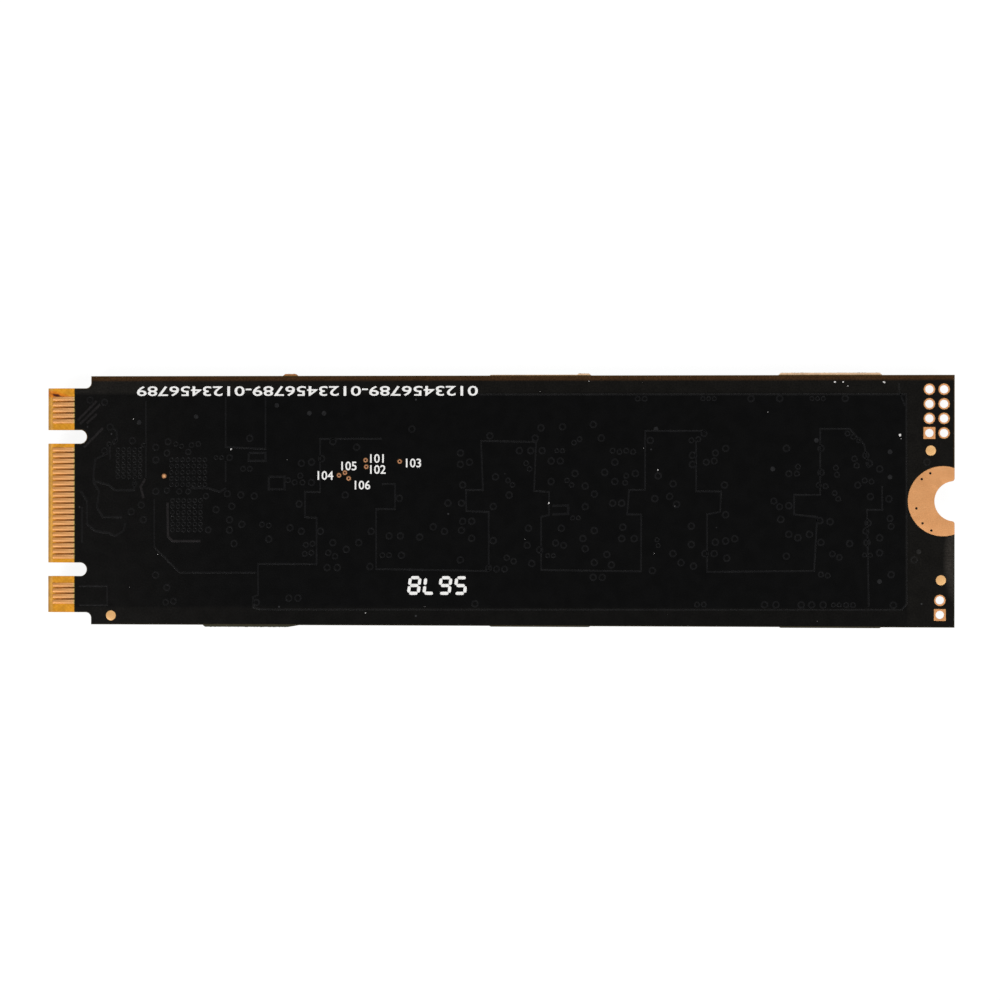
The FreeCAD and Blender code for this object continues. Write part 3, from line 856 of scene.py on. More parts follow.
FINISHES: dict[Slot | Extra, Finish] = {
    Slot.LAMINATE: LaminateFinish((0.7, 0.29, 0.012), 0.5),
    Slot.MASK: MaskFinish((0.0009, 0.0009, 0.001), 0.34),
    Slot.CONTACT: GoldFinish((0.77, 0.35, 0.105), 0.5),
    Slot.PAD: GoldFinish((0.83, 0.39, 0.15), 0.52, scratch_share=0.2),
    Slot.MOULD: CeramicFinish(
        (0.018, 0.018, 0.019),
        0.6,
        Specks((0.09, 0.09, 0.092), 9000.0, 0.12, 0.6),
        grain_scales=(500.0, 12000.0),
        mottle_span=(0.8, 1.25),
        relief_depth=0.008,
        relief_share=0.6,
    ),
    Slot.SOLDER: MetalFinish((0.62, 0.62, 0.63), 0.3),
    Slot.TINNED: MetalFinish((0.64, 0.64, 0.65), 0.38),
    Slot.CAPACITOR: CeramicFinish((0.3, 0.2, 0.13), 0.55),
    Slot.RESISTOR: ceramic((0.03, 0.03, 0.035), 0.45, (0.1, 0.1, 0.11)),
    Slot.INDUCTOR: ceramic((0.09, 0.09, 0.095), 0.7, (0.25, 0.25, 0.26)),
    Slot.CRYSTAL_BASE: ceramic((0.12, 0.1, 0.09), 0.6, (0.2, 0.18, 0.16)),
    Slot.CRYSTAL_LID: MetalFinish((0.6, 0.58, 0.54), 0.34, dull_tone=(0.45, 0.42, 0.37)),
    Slot.INK: InkFinish((0.95, 0.94, 0.92), 0.7),
    # Painted sheen: lighter mask tones for the relief, domes and leads, standing in for light on their
    # raised edges.
    Extra.RELIEF_SHEEN: MaskFinish((0.0062, 0.0062, 0.0067), 0.34, bare_tone=(0.01, 0.0094, 0.0088)),
    Extra.DOME_SHEEN: MaskFinish((0.016, 0.016, 0.017), 0.34, bare_tone=(0.02, 0.019, 0.018)),
    Extra.LEAD_SHEEN: MaskFinish((0.014, 0.0125, 0.013), 0.34, bare_tone=(0.018, 0.0165, 0.017)),
    # Painted highlight: a brighter gold for the fiducials and one via, standing in for their glint.
    Extra.DOT: GoldFinish((0.95, 0.55, 0.22), 0.45, metal=0.2),
    Extra.TEST: GoldFinish((0.5, 0.225, 0.105), 0.5, worn_tone=(0.4, 0.16, 0.06)),
    Extra.LINT: InkFinish((0.74, 0.72, 0.7), 0.85),
}


class MeshDraft:
    """Points and faces of one piece, gathered in millimetres."""

    crest_share: float = 0.6
    mitre_limit: float = 0.4

    def __init__(self) -> None:
        """Start with nothing drawn."""
        self.points: list[Point] = []
        self.faces: list[tuple[int, ...]] = []

    def loft(self, sections: Sequence[Sequence[Point]], wrap: bool = False) -> None:
        """Skin closed sections that have the same number of points.

        Args:
            sections: closed loops, in order.
            wrap: whether the last joins the first. Otherwise both ends are closed by a face.
        """
        start = len(self.points)
        count = len(sections[0])
        rows = [range(start + row * count, start + (row + 1) * count) for row in range(len(sections))]
        for section in sections:
            self.points.extend(section)
        pairs = list(zip(rows, rows[1:]))
        if wrap:
            pairs.append((rows[-1], rows[0]))
        else:
            self.faces.append(tuple(reversed(rows[0])))
            self.faces.append(tuple(rows[-1]))
        for low, high in pairs:
            for index in range(count):
                after = (index + 1) % count
                self.faces.append((low[index], low[after], high[after], high[index]))

    def ribbon(self, path: Sequence[Place], width: float, base: float, height: float) -> None:
        """Raise a low ridge along a path, with mitred corners.

        Args:
            path: places along the ridge.
            width: width of its foot.
            base: height of its foot.
            height: how far it rises, which may be downwards.
        """
        spots = [Vector(place) for place in path]
        sections = []
        for index, spot in enumerate(spots):
            steps = [spots[i + 1] - spots[i] for i in (index - 1, index) if 0 <= i < len(spots) - 1]
            normals = [Vector((-step.y, step.x)).normalized() for step in steps]
            across = sum(normals, Vector((0.0, 0.0))).normalized()
            foot = across * (width / 2 / max(self.mitre_limit, across.dot(normals[0])))
            crest = foot * self.crest_share
            section = [(spot + foot, base), (spot + crest, base + height)]
            section += [(spot - crest, base + height), (spot - foot, base)]
            sections.append([(place.x, place.y, level) for place, level in section])
        self.loft(sections)

    def turned(self, place: Place, profile: Sequence[Place], sides: int) -> None:
        """Turn an open profile of radii and heights about an upright axis."""
        x, y = place
        self.loft([[(x + r * c, y + r * s, level) for c, s in spokes(sides)] for r, level in profile])

    def ring(self, place: Place, profile: Sequence[Place], sides: int) -> None:
        """Turn a closed profile about an upright axis.

        Args:
            place: where the axis stands.
            profile: pairs of radius and height, round the profile.
            sides: facets round the axis.
        """
        x, y = place
        rows = [[(x + r * c, y + r * s, level) for r, level in profile] for c, s in spokes(sides)]
        self.loft(rows, wrap=True)

    def finish(self, name: str, material: Material, slot: Slot, smooth: bool = False) -> bpy.types.Object:
        """Make the drawn piece, with every face turned outwards, and let it ride on the drive.

        Args:
            name: name of the piece.
            material: its finish.
            slot: not used.
            smooth: whether its faces are shaded as one curved surface.

        Returns:
            The new object.
        """
        mesh = bpy.data.meshes.new(name)
        mesh.from_pydata([Vector(point) * MM for point in self.points], [], self.faces)
        work = bmesh.new()
        work.from_mesh(mesh)
        bmesh.ops.recalc_face_normals(work, faces=work.faces)
        for face in work.faces:
            face.smooth = smooth
        work.to_mesh(mesh)
        work.free()
        return place_piece(name, mesh, material)


def place_piece(name: str, mesh: bpy.types.Mesh, material: Material) -> bpy.types.Object:
    """Put a mesh in the scene as a piece that rides on the drive.

    Args:
        name: name of the piece.
        mesh: its mesh, in metres.
        material: its finish.

    Returns:
        The new object.
    """
    mesh.materials.append(material)
    piece = bpy.data.objects.new(name, mesh)
    bpy.context.scene.collection.objects.link(piece)
    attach(piece, "root")
    LOG.info("%s: %d faces", name, len(mesh.polygons))
    return piece


@dataclass
class Finishes:
    """Every material of the drive, and the dressing of its solids."""

    sharp_angle: float = 35.0
    edge_steps: int = 2

    EDGE_WIDTHS = {
        Slot.LAMINATE: 0.02, Slot.CONTACT: 0.012, Slot.PAD: 0.014, Slot.MOULD: 0.05, Slot.SOLDER: 0.03,
        Slot.TINNED: 0.04, Slot.CAPACITOR: 0.03, Slot.RESISTOR: 0.02, Slot.INDUCTOR: 0.06,
        Slot.CRYSTAL_BASE: 0.04, Slot.CRYSTAL_LID: 0.08,
    }
    # The fiducials take the brighter gold, a painted highlight.
    OWN = {"fiducial_pads": Extra.DOT, "test_pads": Extra.TEST}

    def __post_init__(self) -> None:
        """Build the materials."""
        effects = SharedEffects()
        self.made = {kind: finish.build(kind.value, effects) for kind, finish in FINISHES.items()}

    def dress(self) -> None:
        """Give each solid its finish, and softly broken edges to all but the thin masks."""
        for row in frame["record"]["subparts"]:
            node, slot = row["node"], Slot(row["material_slot"])
            solid = frame["nodes"][node]
            solid.data.materials.clear()
            solid.data.materials.append(self.made[self.OWN.get(node, slot)])
            if slot in self.EDGE_WIDTHS:
                self._soften(solid, self.EDGE_WIDTHS[slot])
            LOG.info("%s: dressed as %s", node, slot.value)

    def _soften(self, solid: bpy.types.Object, width: float) -> None:
        """Break a solid's edges.

        Args:
            solid: the solid's object.
            width: width of the broken edge.
        """
        solid.modifiers.new("joined_faces", "WELD").merge_threshold = SAME_POINT
        edges = solid.modifiers.new("broken_edges", "BEVEL")
        edges.width = width * MM
        edges.segments = self.edge_steps
        edges.limit_method = "ANGLE"
        edges.angle_limit = math.radians(self.sharp_angle)
        solid.modifiers.new("even_shading", "WEIGHTED_NORMAL")


@dataclass(frozen=True)
class BoardFaces:
    """Heights and boxes that the pieces on the board share."""

    levels: dict[Side, float]
    packages: list[Box]

    @classmethod
    def measured(cls) -> BoardFaces:
        """Read the masks and the memory packages from the solids.

        Returns:
            The board's faces.
        """
        names = sorted(name for name in frame["nodes"] if name.startswith("memory_package_"))
        back, front = node_box("solder_mask_back")[1].z, node_box("solder_mask_front")[0].z
        return cls({Side.BACK: back, Side.FRONT: front}, [node_box(name) for name in names])


@dataclass
class CopperRelief:
    """Outlines of the copper fills, traces and covered vias that stand raised under the mask, in lighter
    mask tones that paint the sheen of their raised edges.
    """

    faces: BoardFaces
    line_width: float = 0.18
    trace_width: float = 0.24
    lead_width: float = 0.27
    line_height: float = 0.004
    sink: float = 0.006
    via_radius: float = 0.37
    field_radius: float = 0.235
    bore_share: float = 0.42
    slope_share: float = 0.3
    ring_clearance: float = 0.01
    via_height: float = 0.004
    via_sides: int = 14
    bus_count: int = 4
    bus_start: float = 9.45
    bus_pitch: float = 0.35
    bus_lead: float = 1.0

    FILL_EDGES = [
        [(-1.5, 9.33), (35.8, 9.3), (35.85, -8.95), (35.4, -9.48), (-20.97, -9.62), (-21.6, -9.4),
         (-21.6, -8.53), (-21.15, -8.35), (-21.16, -5.6), (-15.95, -5.6), (-15.95, -1.54),
         (-16.98, -1.46), (-16.98, 0.75), (-15.64, 0.75), (-15.65, 5.43), (-10.15, 5.45)],
        [(-10.15, 1.46), (-8.99, 1.46), (-8.99, -0.74), (-10.67, -0.74), (-10.66, -6.03), (-0.7, -6.18),
         (-0.71, -0.99), (-2.7, -0.91), (-2.71, 0.94), (-1.21, 0.94), (-1.39, 5.25), (3.46, 5.16),
         (3.29, 0.86), (4.61, 0.77), (4.61, -1.25), (3.91, -1.42), (3.92, -6.08), (12.7, -6.18),
         (12.7, -1.2), (11.47, -1.2), (11.64, 0.95), (13.04, 0.95), (13.04, 6.12), (18.38, 6.12)],
        [(17.5, 5.4), (17.51, 0.83), (19.69, 0.83), (19.61, -0.96), (18.47, -1.19), (18.48, -6.21),
         (27.81, -6.1), (28.06, -1.39), (26.06, -1.18), (26.06, 0.53), (28.32, 0.53), (28.32, 6.29),
         (30.92, 6.29), (32.14, 4.98), (32.54, 2.89)],
        [(33.71, 1.32), (33.71, -0.77), (32.4, -0.77), (32.56, -9.22)],
        [(-31.2, 8.8), (-31.19, 2.0)],
        [(-24.06, 9.14), (-24.06, 4.72), (-20.51, 4.54), (-20.51, 9.14)],
        [(-24.06, 3.48), (-24.06, 1.63)],
        [(-30.44, 0.12), (-30.43, -4.13), (-28.15, -6.39), (-21.3, -6.37)],
        [(-37.18, -7.6), (-34.66, -7.6), (-34.66, -9.28), (-37.18, -9.28)],
        [(35.15, 10.3), (35.2, 9.6), (35.55, 8.7), (35.7, 8.3)],
    ]
    TRACES = [
        [(-34.59, 4.19), (-35.71, 3.66), (-35.88, 2.51), (-35.88, 1.62), (-35.39, 0.82), (-35.57, -0.6),
         (-35.03, -1.48), (-33.32, -1.48)],
        [(-35.71, 1.71), (-34.49, 1.35), (-33.95, 0.91), (-32.25, 0.91), (-32.2, 2.0)],
        [(-37.01, 0.82), (-36.47, -0.07), (-36.46, -2.1), (-35.7, -2.72), (-34.49, -2.9), (-33.95, -3.16),
         (-33.2, -2.7), (-33.0, -2.0)],
        [(-34.1, 6.4), (-33.8, 6.1), (-33.8, 5.2)],
        [(-34.45, 4.9), (-34.4, 3.6)],
        [(-36.92, -0.6), (-36.91, -3.79)],
        [(-24.0, 1.1), (-24.6, 0.75), (-25.6, 1.1), (-27.2, 1.1)],
        [(-22.0, 4.2), (-20.5, 4.2), (-20.5, 3.5), (-22.0, 3.5), (-22.0, 4.2)],
        [(-20.2, 2.1), (-18.8, 2.1), (-18.8, 1.0), (-20.2, 1.0), (-20.2, 2.1)],
        [(4.9, -0.45), (6.3, -0.4), (6.3, -1.15), (4.9, -1.2)],
    ]
    LEADS = [
        [(-35.04, 6.41), (-36.75, 4.7)],
        [(-37.3, 7.1), (-35.6, 8.8)],
        [(-37.1, 6.75), (-35.3, 8.5)],
        [(-36.5, 6.8), (-35.6, 7.65)],
        [(-31.25, 1.9), (-31.65, 1.2), (-31.4, 0.2)],
        [(-29.25, -0.2), (-29.2, -3.2), (-28.8, -3.6), (-26.3, -3.6)],
    ]
    VIAS = {
        "controller end": [
            (-36.2, 8.9), (-34.9, 8.7), (-34.4, 6.5), (-34.0, 5.2), (-34.5, 5.0), (-34.9, 4.4),
            (-32.4, 5.3), (-31.4, 4.9), (-30.3, 4.7), (-29.2, 5.2), (-28.5, 5.0), (-28.0, 4.8),
            (-27.1, 4.9), (-26.5, 5.0), (-27.4, 4.3), (-29.3, 4.2), (-30.3, 3.6), (-21.9, 5.5),
            (-24.9, 3.8), (-24.4, 3.8), (-23.7, 3.8), (-22.5, 2.8), (-21.9, 2.8), (-18.5, 1.8),
            (-32.2, 1.5), (-30.3, 0.8), (-29.3, 0.9), (-28.2, 0.8), (-27.4, 0.8), (-25.8, 0.4),
            (-23.9, 0.6), (-22.7, 0.5), (-21.5, 0.4), (-32.5, -1.0), (-31.6, -0.4), (-31.4, -1.7),
            (-24.9, -0.8), (-23.5, -0.5), (-23.7, -1.7), (-25.6, -2.6), (-23.7, -2.6), (-22.6, -2.1),
            (-20.8, -2.1), (-20.2, -2.2), (-18.3, -2.4), (-23.3, -3.8), (-20.2, -3.4), (-30.3, -6.6),
            (-29.3, -7.7), (-28.7, -8.9), (-29.4, -9.0), (-21.3, -9.0), (-18.4, -8.6), (-17.6, -8.6),
        ],
        "first package": [
            (-7.5, 6.3), (-14.5, 5.2), (-12.4, 4.7), (-17.3, 3.3), (-16.4, 3.4), (-15.5, 3.7),
            (-17.4, 2.2), (-17.9, 1.6), (-17.2, 1.6), (-16.4, 1.6), (-13.4, 0.5), (-8.6, 0.2),
            (-17.5, -0.3), (-4.3, -0.2), (-17.3, -2.7), (-15.6, -2.7), (-11.1, -2.7), (-5.6, -2.3),
            (-4.6, -2.7), (-16.9, -3.9), (-16.3, -3.8), (-14.5, -3.7), (-12.2, -3.7), (-9.5, -3.1),
            (-8.5, -3.1), (-6.8, -3.2), (-17.0, -4.7), (-16.4, -4.6), (-14.9, -4.6), (-14.3, -4.9),
            (-13.3, -4.3), (-10.1, -4.8), (-9.5, -4.8), (-8.4, -4.8), (-15.0, -5.9), (-14.1, -5.9),
            (-11.2, -5.8),
        ],
        "second package": [
            (3.9, 6.4), (5.8, 6.5), (8.5, 6.7), (-0.6, 5.7), (3.4, 5.5), (6.8, 5.1), (7.3, 5.4),
            (9.2, 5.5), (-3.2, 4.2), (2.0, 4.4), (3.0, 4.4), (4.0, 4.4), (5.3, 4.4), (5.8, 4.4),
            (10.2, 4.4), (10.8, 4.3), (11.4, 4.4), (12.0, 4.3), (-3.2, 3.2), (-2.4, 3.4), (2.6, 3.3),
            (2.9, 2.8), (4.8, 3.5), (5.6, 3.5), (10.4, 3.4), (-0.1, 2.1), (6.9, 2.4), (9.5, 2.5),
            (11.4, 2.2), (12.2, 2.4), (-3.0, 1.4), (1.0, 1.8), (1.4, 1.4), (4.8, 1.7), (6.2, 1.8),
            (6.6, 1.4), (7.8, 1.3), (10.4, 1.7), (11.3, 1.6), (1.1, 0.5), (8.6, 0.6), (-3.1, -0.2),
            (-0.3, -0.5), (7.8, -0.5), (10.2, -0.2), (11.0, -0.2), (-3.0, -1.8), (-2.2, -1.8),
            (6.7, -1.5), (7.2, -1.5), (-3.1, -2.6), (2.8, -2.4), (5.7, -2.4), (8.6, -2.6), (11.1, -2.3),
            (-2.2, -3.3), (-0.3, -3.5), (2.7, -3.9), (5.2, -3.7), (5.9, -3.9), (7.6, -3.3), (11.0, -3.3),
            (12.1, -3.3), (3.8, -4.3), (7.8, -4.2), (4.5, -4.8), (5.0, -4.8), (9.7, -4.7), (-3.2, -5.2),
            (0.9, -5.0), (1.5, -5.3), (3.1, -5.5), (8.6, -5.4), (10.1, -5.6), (-0.7, -5.9), (0.0, -6.0),
            (0.7, -6.0), (8.5, -6.7), (9.3, -6.7),
        ],
        "third package": [
            (18.2, 5.9), (13.5, 5.3), (17.1, 5.3), (17.7, 5.4), (20.1, 4.6), (17.2, 4.0), (19.2, 4.2),
            (17.2, 3.2), (18.4, 3.4), (19.1, 3.5), (14.2, 2.2), (15.5, 1.5), (20.0, 1.4), (13.9, 0.2),
            (15.2, 0.4), (15.8, -0.3), (20.1, -1.2), (17.1, -2.2), (14.1, -3.4), (14.2, -3.9),
            (17.1, -3.8), (19.2, -3.6), (20.1, -3.5), (20.9, -3.3), (15.5, -4.6), (18.3, -4.6),
            (19.1, -4.6), (16.2, -5.4), (20.2, -5.0), (17.3, -5.7), (13.7, -6.1),
        ],
        "fourth package": [
            (25.4, 4.6), (28.4, 4.6), (26.4, 3.0), (26.3, 2.4), (25.6, 2.4), (28.4, 2.5), (29.7, 2.9),
            (29.8, 2.3), (28.2, 1.4), (28.8, 1.3), (24.3, 0.0), (29.6, 0.7), (29.9, 0.2), (24.8, -0.5),
            (25.6, -0.4), (24.9, -1.6), (28.3, -1.7), (29.2, -1.8), (25.6, -2.9), (26.4, -3.2),
            (27.4, -2.9), (28.4, -3.6), (25.4, -4.8), (29.4, -4.6), (30.0, -4.9), (28.4, -6.4),
            (29.0, -6.5),
        ],
        "screw end": [
            (30.7, 5.9), (31.2, 5.6), (31.7, 5.3), (32.3, 4.0), (31.3, 3.7), (32.6, 3.3), (31.5, 3.1),
            (33.5, 2.8), (37.6, 3.4), (32.2, 1.8), (32.8, 1.7), (31.6, 1.4), (32.7, 0.4), (34.3, 0.2),
            (32.5, -1.9), (34.4, -1.5), (32.3, -2.6), (34.5, -2.2), (33.5, -3.2), (30.9, -3.7),
            (32.4, -3.6), (33.5, -4.5), (32.2, -4.7), (32.7, -4.7), (36.5, -5.1), (34.5, -6.4),
        ],
        "upper edge": [
            (x, 8.95)
            for x in (12.4, 13.0, 18.1, 18.6, 19.1, 22.3, 24.8, 27.6, 28.1, 28.6, 30.5)
        ],
        "lower edge": [
            (x, -9.05)
            for x in (-1.9, 17.6, 18.2, 23.5, 24.5, 26.7, 27.6, 28.6, 29.5, 30.0, 30.6, 31.2, 34.7)
        ],
    }
    VIA_FIELDS = [
        ((-33.7, 2.1), (-31.7, 4.5), 5, 6),
        ((-28.9, 1.4), (-25.9, 3.6), 7, 5),
        ((-28.8, -2.6), (-26.3, 0.0), 6, 6),
    ]
    SHEEN_DOME_VIAS = [
        (-16.6, 7.7), (-15.3, 7.7), (-31.8, 6.9), (-26.7, 7.4), (-19.5, 8.4), (14.0, 6.3), (24.2, 2.8),
        (28.0, 5.3), (34.4, 4.3), (34.4, 2.1), (33.5, -7.0), (36.9, -4.4),
    ]
    DOME_STEPS = ((0.8, 0.6), (0.3, 1.0))

    def build(self, finishes: Finishes) -> None:
        """Raise the relief on both faces.

        Args:
            finishes: the drive's materials.
        """
        # Painted sheen: the ridges, rings, domes and leads take lighter mask tones for light on their raised
        # edges.
        relief = finishes.made[Extra.RELIEF_SHEEN]
        self._lines("copper_fill_edges", self.FILL_EDGES, self.line_width, relief)
        self._lines("trace_ridges", self.TRACES, self.trace_width, relief)
        self._lines("contact_leads", self.LEADS, self.lead_width, finishes.made[Extra.LEAD_SHEEN])
        self._vias("covered_vias", self.via_radius, relief)
        domes = MeshDraft()
        level, radius = self.faces.levels[Side.BACK], self.field_radius
        profile = [(radius * share, level + self.via_height * rise) for share, rise in self.DOME_STEPS]
        for place in self.SHEEN_DOME_VIAS:
            domes.turned(place, [(radius, level - self.sink), *profile], self.via_sides)
        domes.finish("sheen_domed_vias", finishes.made[Extra.DOME_SHEEN], Slot.MASK)
        self._vias("covered_vias_front", self.field_radius, relief, Side.FRONT)
        low, high = self.faces.packages[0][0].x, self.faces.packages[-1][1].x
        buses = []
        for step in range(self.bus_count):
            for y in (-self.bus_start - step * self.bus_pitch, self.bus_start + step * self.bus_pitch):
                buses.append([(low - self.bus_lead + step, y), (high - step, y)])
        self._lines("trace_ridges_front", buses, self.line_width, relief, Side.FRONT)

    def _lines(
        self,
        name: str,
        paths: Sequence[Sequence[Place]],
        width: float,
        material: Material,
        side: Side = Side.BACK,
    ) -> None:
        """Raise ridges on one face.

        Args:
            name: name of the piece.
            paths: places along each ridge.
            width: width of the ridges.
            material: their finish.
            side: the face that they stand on.
        """
        draft = MeshDraft()
        base = self.faces.levels[side] - side.value * self.sink
        for path in paths:
            draft.ribbon(path, width, base, side.value * (self.sink + self.line_height))
        draft.finish(name, material, Slot.MASK)

    def _vias(self, name: str, widest: float, material: Material, side: Side = Side.BACK) -> None:
        """Raise a rounded ring over each via on one face.

        Args:
            name: name of the piece.
            widest: largest outer radius.
            material: the rings' finish.
            side: the face that they stand on.
        """
        draft = MeshDraft()
        level = self.faces.levels[side]
        low, crest = level - side.value * self.sink, level + side.value * self.via_height
        for place, most in self._via_rings():
            radius = min(most, widest)
            bore = radius * self.bore_share
            slope = (radius - bore) * self.slope_share
            profile = [(radius, low), (radius - slope, crest), (bore + slope, crest), (bore, low)]
            draft.ring(place, profile, self.via_sides)
        draft.finish(name, material, Slot.MASK)

    def _via_rings(self) -> list[tuple[Place, float]]:
        """Find room for each via's ring.

        Returns:
            Each via's place and the radius of its ring, narrowed where a neighbour is near.
        """
        fields = self._field_places()
        singles = [place for zone in self.VIAS.values() for place in zone]
        rings = [(place, self.field_radius) for place in fields]
        for place in singles:
            nearest = min(math.dist(place, other) for other in singles + fields if other != place)
            rings.append((place, min(self.via_radius, nearest / 2 - self.ring_clearance)))
        return rings

    def _field_places(self) -> list[Place]:
        """Lay out the vias that stand in rows under the controller.

        Returns:
            Their places.
        """
        places = []
        for low, high, columns, rows in self.VIA_FIELDS:
            for column in range(columns):
                x = low[0] + (high[0] - low[0]) * column / (columns - 1)
                places += [(x, low[1] + (high[1] - low[1]) * row / (rows - 1)) for row in range(rows)]
        return places


@dataclass
class FilledVias:
    """Filled vias in the screw pads and the test pads, painted black for the shade in their hollows, and one
    painted bright for its glint.
    """

    screw_plug_radius: float = 0.11
    test_plug_radius: float = 0.085
    bright_plug_end: float = -20.0
    plug_height: float = 0.006
    sink: float = 0.01
    sides: int = 14

    SCREW_PLUGS = [(37.89, 2.43), (37.15, 1.92), (36.69, -0.63), (37.22, -1.92), (37.99, -2.55)]
    PLUG_STEPS = ((1.0, 0.0), (0.7, 1.0), (0.3, 0.4))

    def build(self, finishes: Finishes) -> None:
        """Fill the vias of both screw pads and of every test pad.

        Args:
            finishes: the drive's materials.
        """
        shaded_plugs, bright = MeshDraft(), MeshDraft()
        levels = {Side.BACK: node_box("screw_pad_back")[1].z, Side.FRONT: node_box("screw_pad_front")[0].z}
        for place in self.SCREW_PLUGS:
            for side, level in levels.items():
                self._plug(shaded_plugs, place, self.screw_plug_radius, level, side)
        for low, high in node_lumps("test_pads"):
            middle = (low + high) / 2
            # The via nearest the controller end takes the brighter gold, a painted highlight for the glint
            # on its dome.
            chosen = bright if middle.x < self.bright_plug_end else shaded_plugs
            self._plug(chosen, (middle.x, middle.y), self.test_plug_radius, high.z, Side.BACK)
        # Partly painted shade: the plugs are real fills, and their black mask colour stands in for the shade
        # in the via hollows.
        shaded_plugs.finish("filled_shaded_vias", finishes.made[Slot.MASK], Slot.MASK, smooth=True)
        bright.finish("bright_via", finishes.made[Extra.DOT], Slot.PAD, smooth=True)

    def _plug(self, draft: MeshDraft, place: Place, radius: float, level: float, side: Side) -> None:
        """Draw one plug with a dimple in its top.

        Args:
            draft: the mesh to draw in.
            place: middle of the plug.
            radius: radius of the plug.
            level: height of the pad's face.
            side: the face that it opens to.
        """
        rise = side.value * self.plug_height
        profile = [(radius, level - side.value * self.sink)]
        profile += [(radius * share, level + rise * lift) for share, lift in self.PLUG_STEPS]
        draft.turned(place, profile, self.sides)


@dataclass
class PrintedNumbers:
    """Plain numbers in white ink on the back, and lines beside the packages on the component side."""

    faces: BoardFaces
    ink_height: float = 0.014
    sink: float = 0.004
    row_text: str = "0123456789-0123456789-0123456789"
    row_box: tuple[float, float, float, float] = (-32.0, 9.22, -1.66, 10.1)
    type_depth: float = 0.5
    type_swell: float = 0.012
    type_steps: int = 3
    large_text: str = "5678"
    large_box: tuple[float, float, float, float] = (-7.92, -8.29, -2.52, -6.64)
    large_stroke: float = 0.28
    large_gap: float = 0.05
    large_slant: float = 0.12
    large_cell: float = 1.25
    cap_angles: tuple[int, ...] = (-90, -45, 0, 45, 90)
    pad_number_height: float = 0.78
    first_pad_number: int = 101
    outline_gap: float = 0.35
    outline_width: float = 0.15

    PAD_NUMBERS = [(-10.59, 3.71), (-10.5, 2.74), (-7.35, 3.31), (-15.16, 2.21), (-13.07, 3.05),
                   (-11.87, 1.37)]
    SEGMENTS = {"a": ((0, 2), (1, 2)), "b": ((1, 1), (1, 2)), "c": ((1, 0), (1, 1)), "d": ((0, 0), (1, 0)),
                "e": ((0, 0), (0, 1)), "f": ((0, 1), (0, 2)), "g": ((0, 1), (1, 1))}
    DIGITS = {"5": "afgcd", "6": "afgedc", "7": "abc", "8": "abcdefg"}

    def build(self, finishes: Finishes) -> None:
        """Print every number and line.

        Args:
            finishes: the drive's materials.
        """
        ink = finishes.made[Slot.INK]
        low_x, low_y, high_x, high_y = self.row_box
        middle = ((low_x + high_x) / 2, (low_y + high_y) / 2)
        mesh = self._text(self.row_text, middle, high_y - low_y, high_x - low_x, math.pi)
        place_piece("number_row", mesh, ink)
        for offset, place in enumerate(self.PAD_NUMBERS):
            mesh = self._text(str(self.first_pad_number + offset), place, self.pad_number_height)
            place_piece(f"pad_number_{offset + 1}", mesh, ink)
        self._large_number(ink)
        self._outlines(ink)

    def _text(
        self, text: str, middle: Place, height: float, width: float | None = None, turn: float = 0.0
    ) -> bpy.types.Mesh:
        """Make raised printed digits.

        Args:
            text: the digits.
            middle: place of the text's middle.
            height: height of the digits.
            width: width to fit, or None for the type's own.
            turn: angle that it is turned by.

        Returns:
            The mesh, in metres.
        """
        curve = bpy.data.curves.new("type", "FONT")
        curve.body = text
        curve.extrude = self.type_depth
        curve.offset = self.type_swell
        curve.resolution_u = self.type_steps
        holder = bpy.data.objects.new("type", curve)
        bpy.context.scene.collection.objects.link(holder)
        shaped = holder.evaluated_get(bpy.context.evaluated_depsgraph_get())
        mesh = bpy.data.meshes.new_from_object(shaped)
        bpy.data.objects.remove(holder)
        bpy.data.curves.remove(curve)
        low, high = corners_of([vert.co for vert in mesh.vertices])
        gain_y = height / (high.y - low.y)
        gain_x = gain_y if width is None else width / (high.x - low.x)
        gain_z = (self.ink_height + self.sink) / (high.z - low.z)
        centre = (low + high) / 2
        centre.z = low.z
        spot = Vector((*middle, self.faces.levels[Side.BACK] - self.sink)) * MM
        size = Matrix.Diagonal((gain_x * MM, gain_y * MM, gain_z * MM, 1.0))
        turning = Matrix.Rotation(turn, 4, "Z")
        mesh.transform(Matrix.Translation(spot) @ turning @ size @ Matrix.Translation(-centre))
        return mesh

    def _large_number(self, ink: Material) -> None:
        """Print the large number in separate round-ended strokes, slanted and upside down.

        Args:
            ink: the finish of the print.
        """
        low_x, low_y, high_x, high_y = self.large_box
        stroke = self.large_stroke
        half_cell = (high_y - low_y - stroke) / 2
        cell = half_cell * self.large_cell
        lean = self.large_slant * half_cell * 2
        step = (high_x - low_x - stroke - cell - lean) / (len(self.large_text) - 1)
        draft = MeshDraft()
        for index, digit in enumerate(self.large_text):
            for name in self.DIGITS[digit]:
                ends = []
                for x, y in self.SEGMENTS[name]:
                    across = high_x - stroke / 2 - index * step - x * cell - lean * y / 2
                    ends.append(Vector((across, high_y - stroke / 2 - y * half_cell)))
                self._stroke(draft, *ends)
        draft.finish("large_number", ink, Slot.INK)

    def _stroke(self, draft: MeshDraft, start: Vector, end: Vector) -> None:
        """Draw one stroke with round ends, shortened so that it stays clear of its neighbours.

        Args:
            draft: the mesh to draw in.
            start: where the whole stroke would start.
            end: where it would end.
        """
        way = (end - start).normalized()
        half = self.large_stroke / 2
        cut = self.large_gap + half
        outline = []
        for middle, outward in ((end - way * cut, way), (start + way * cut, -way)):
            for angle in self.cap_angles:
                outline.append(middle + Matrix.Rotation(math.radians(angle), 2) @ outward * half)
        base = self.faces.levels[Side.BACK] - self.sink
        levels = (base, base + self.sink + self.ink_height)
        draft.loft([[(spot.x, spot.y, level) for spot in outline] for level in levels])

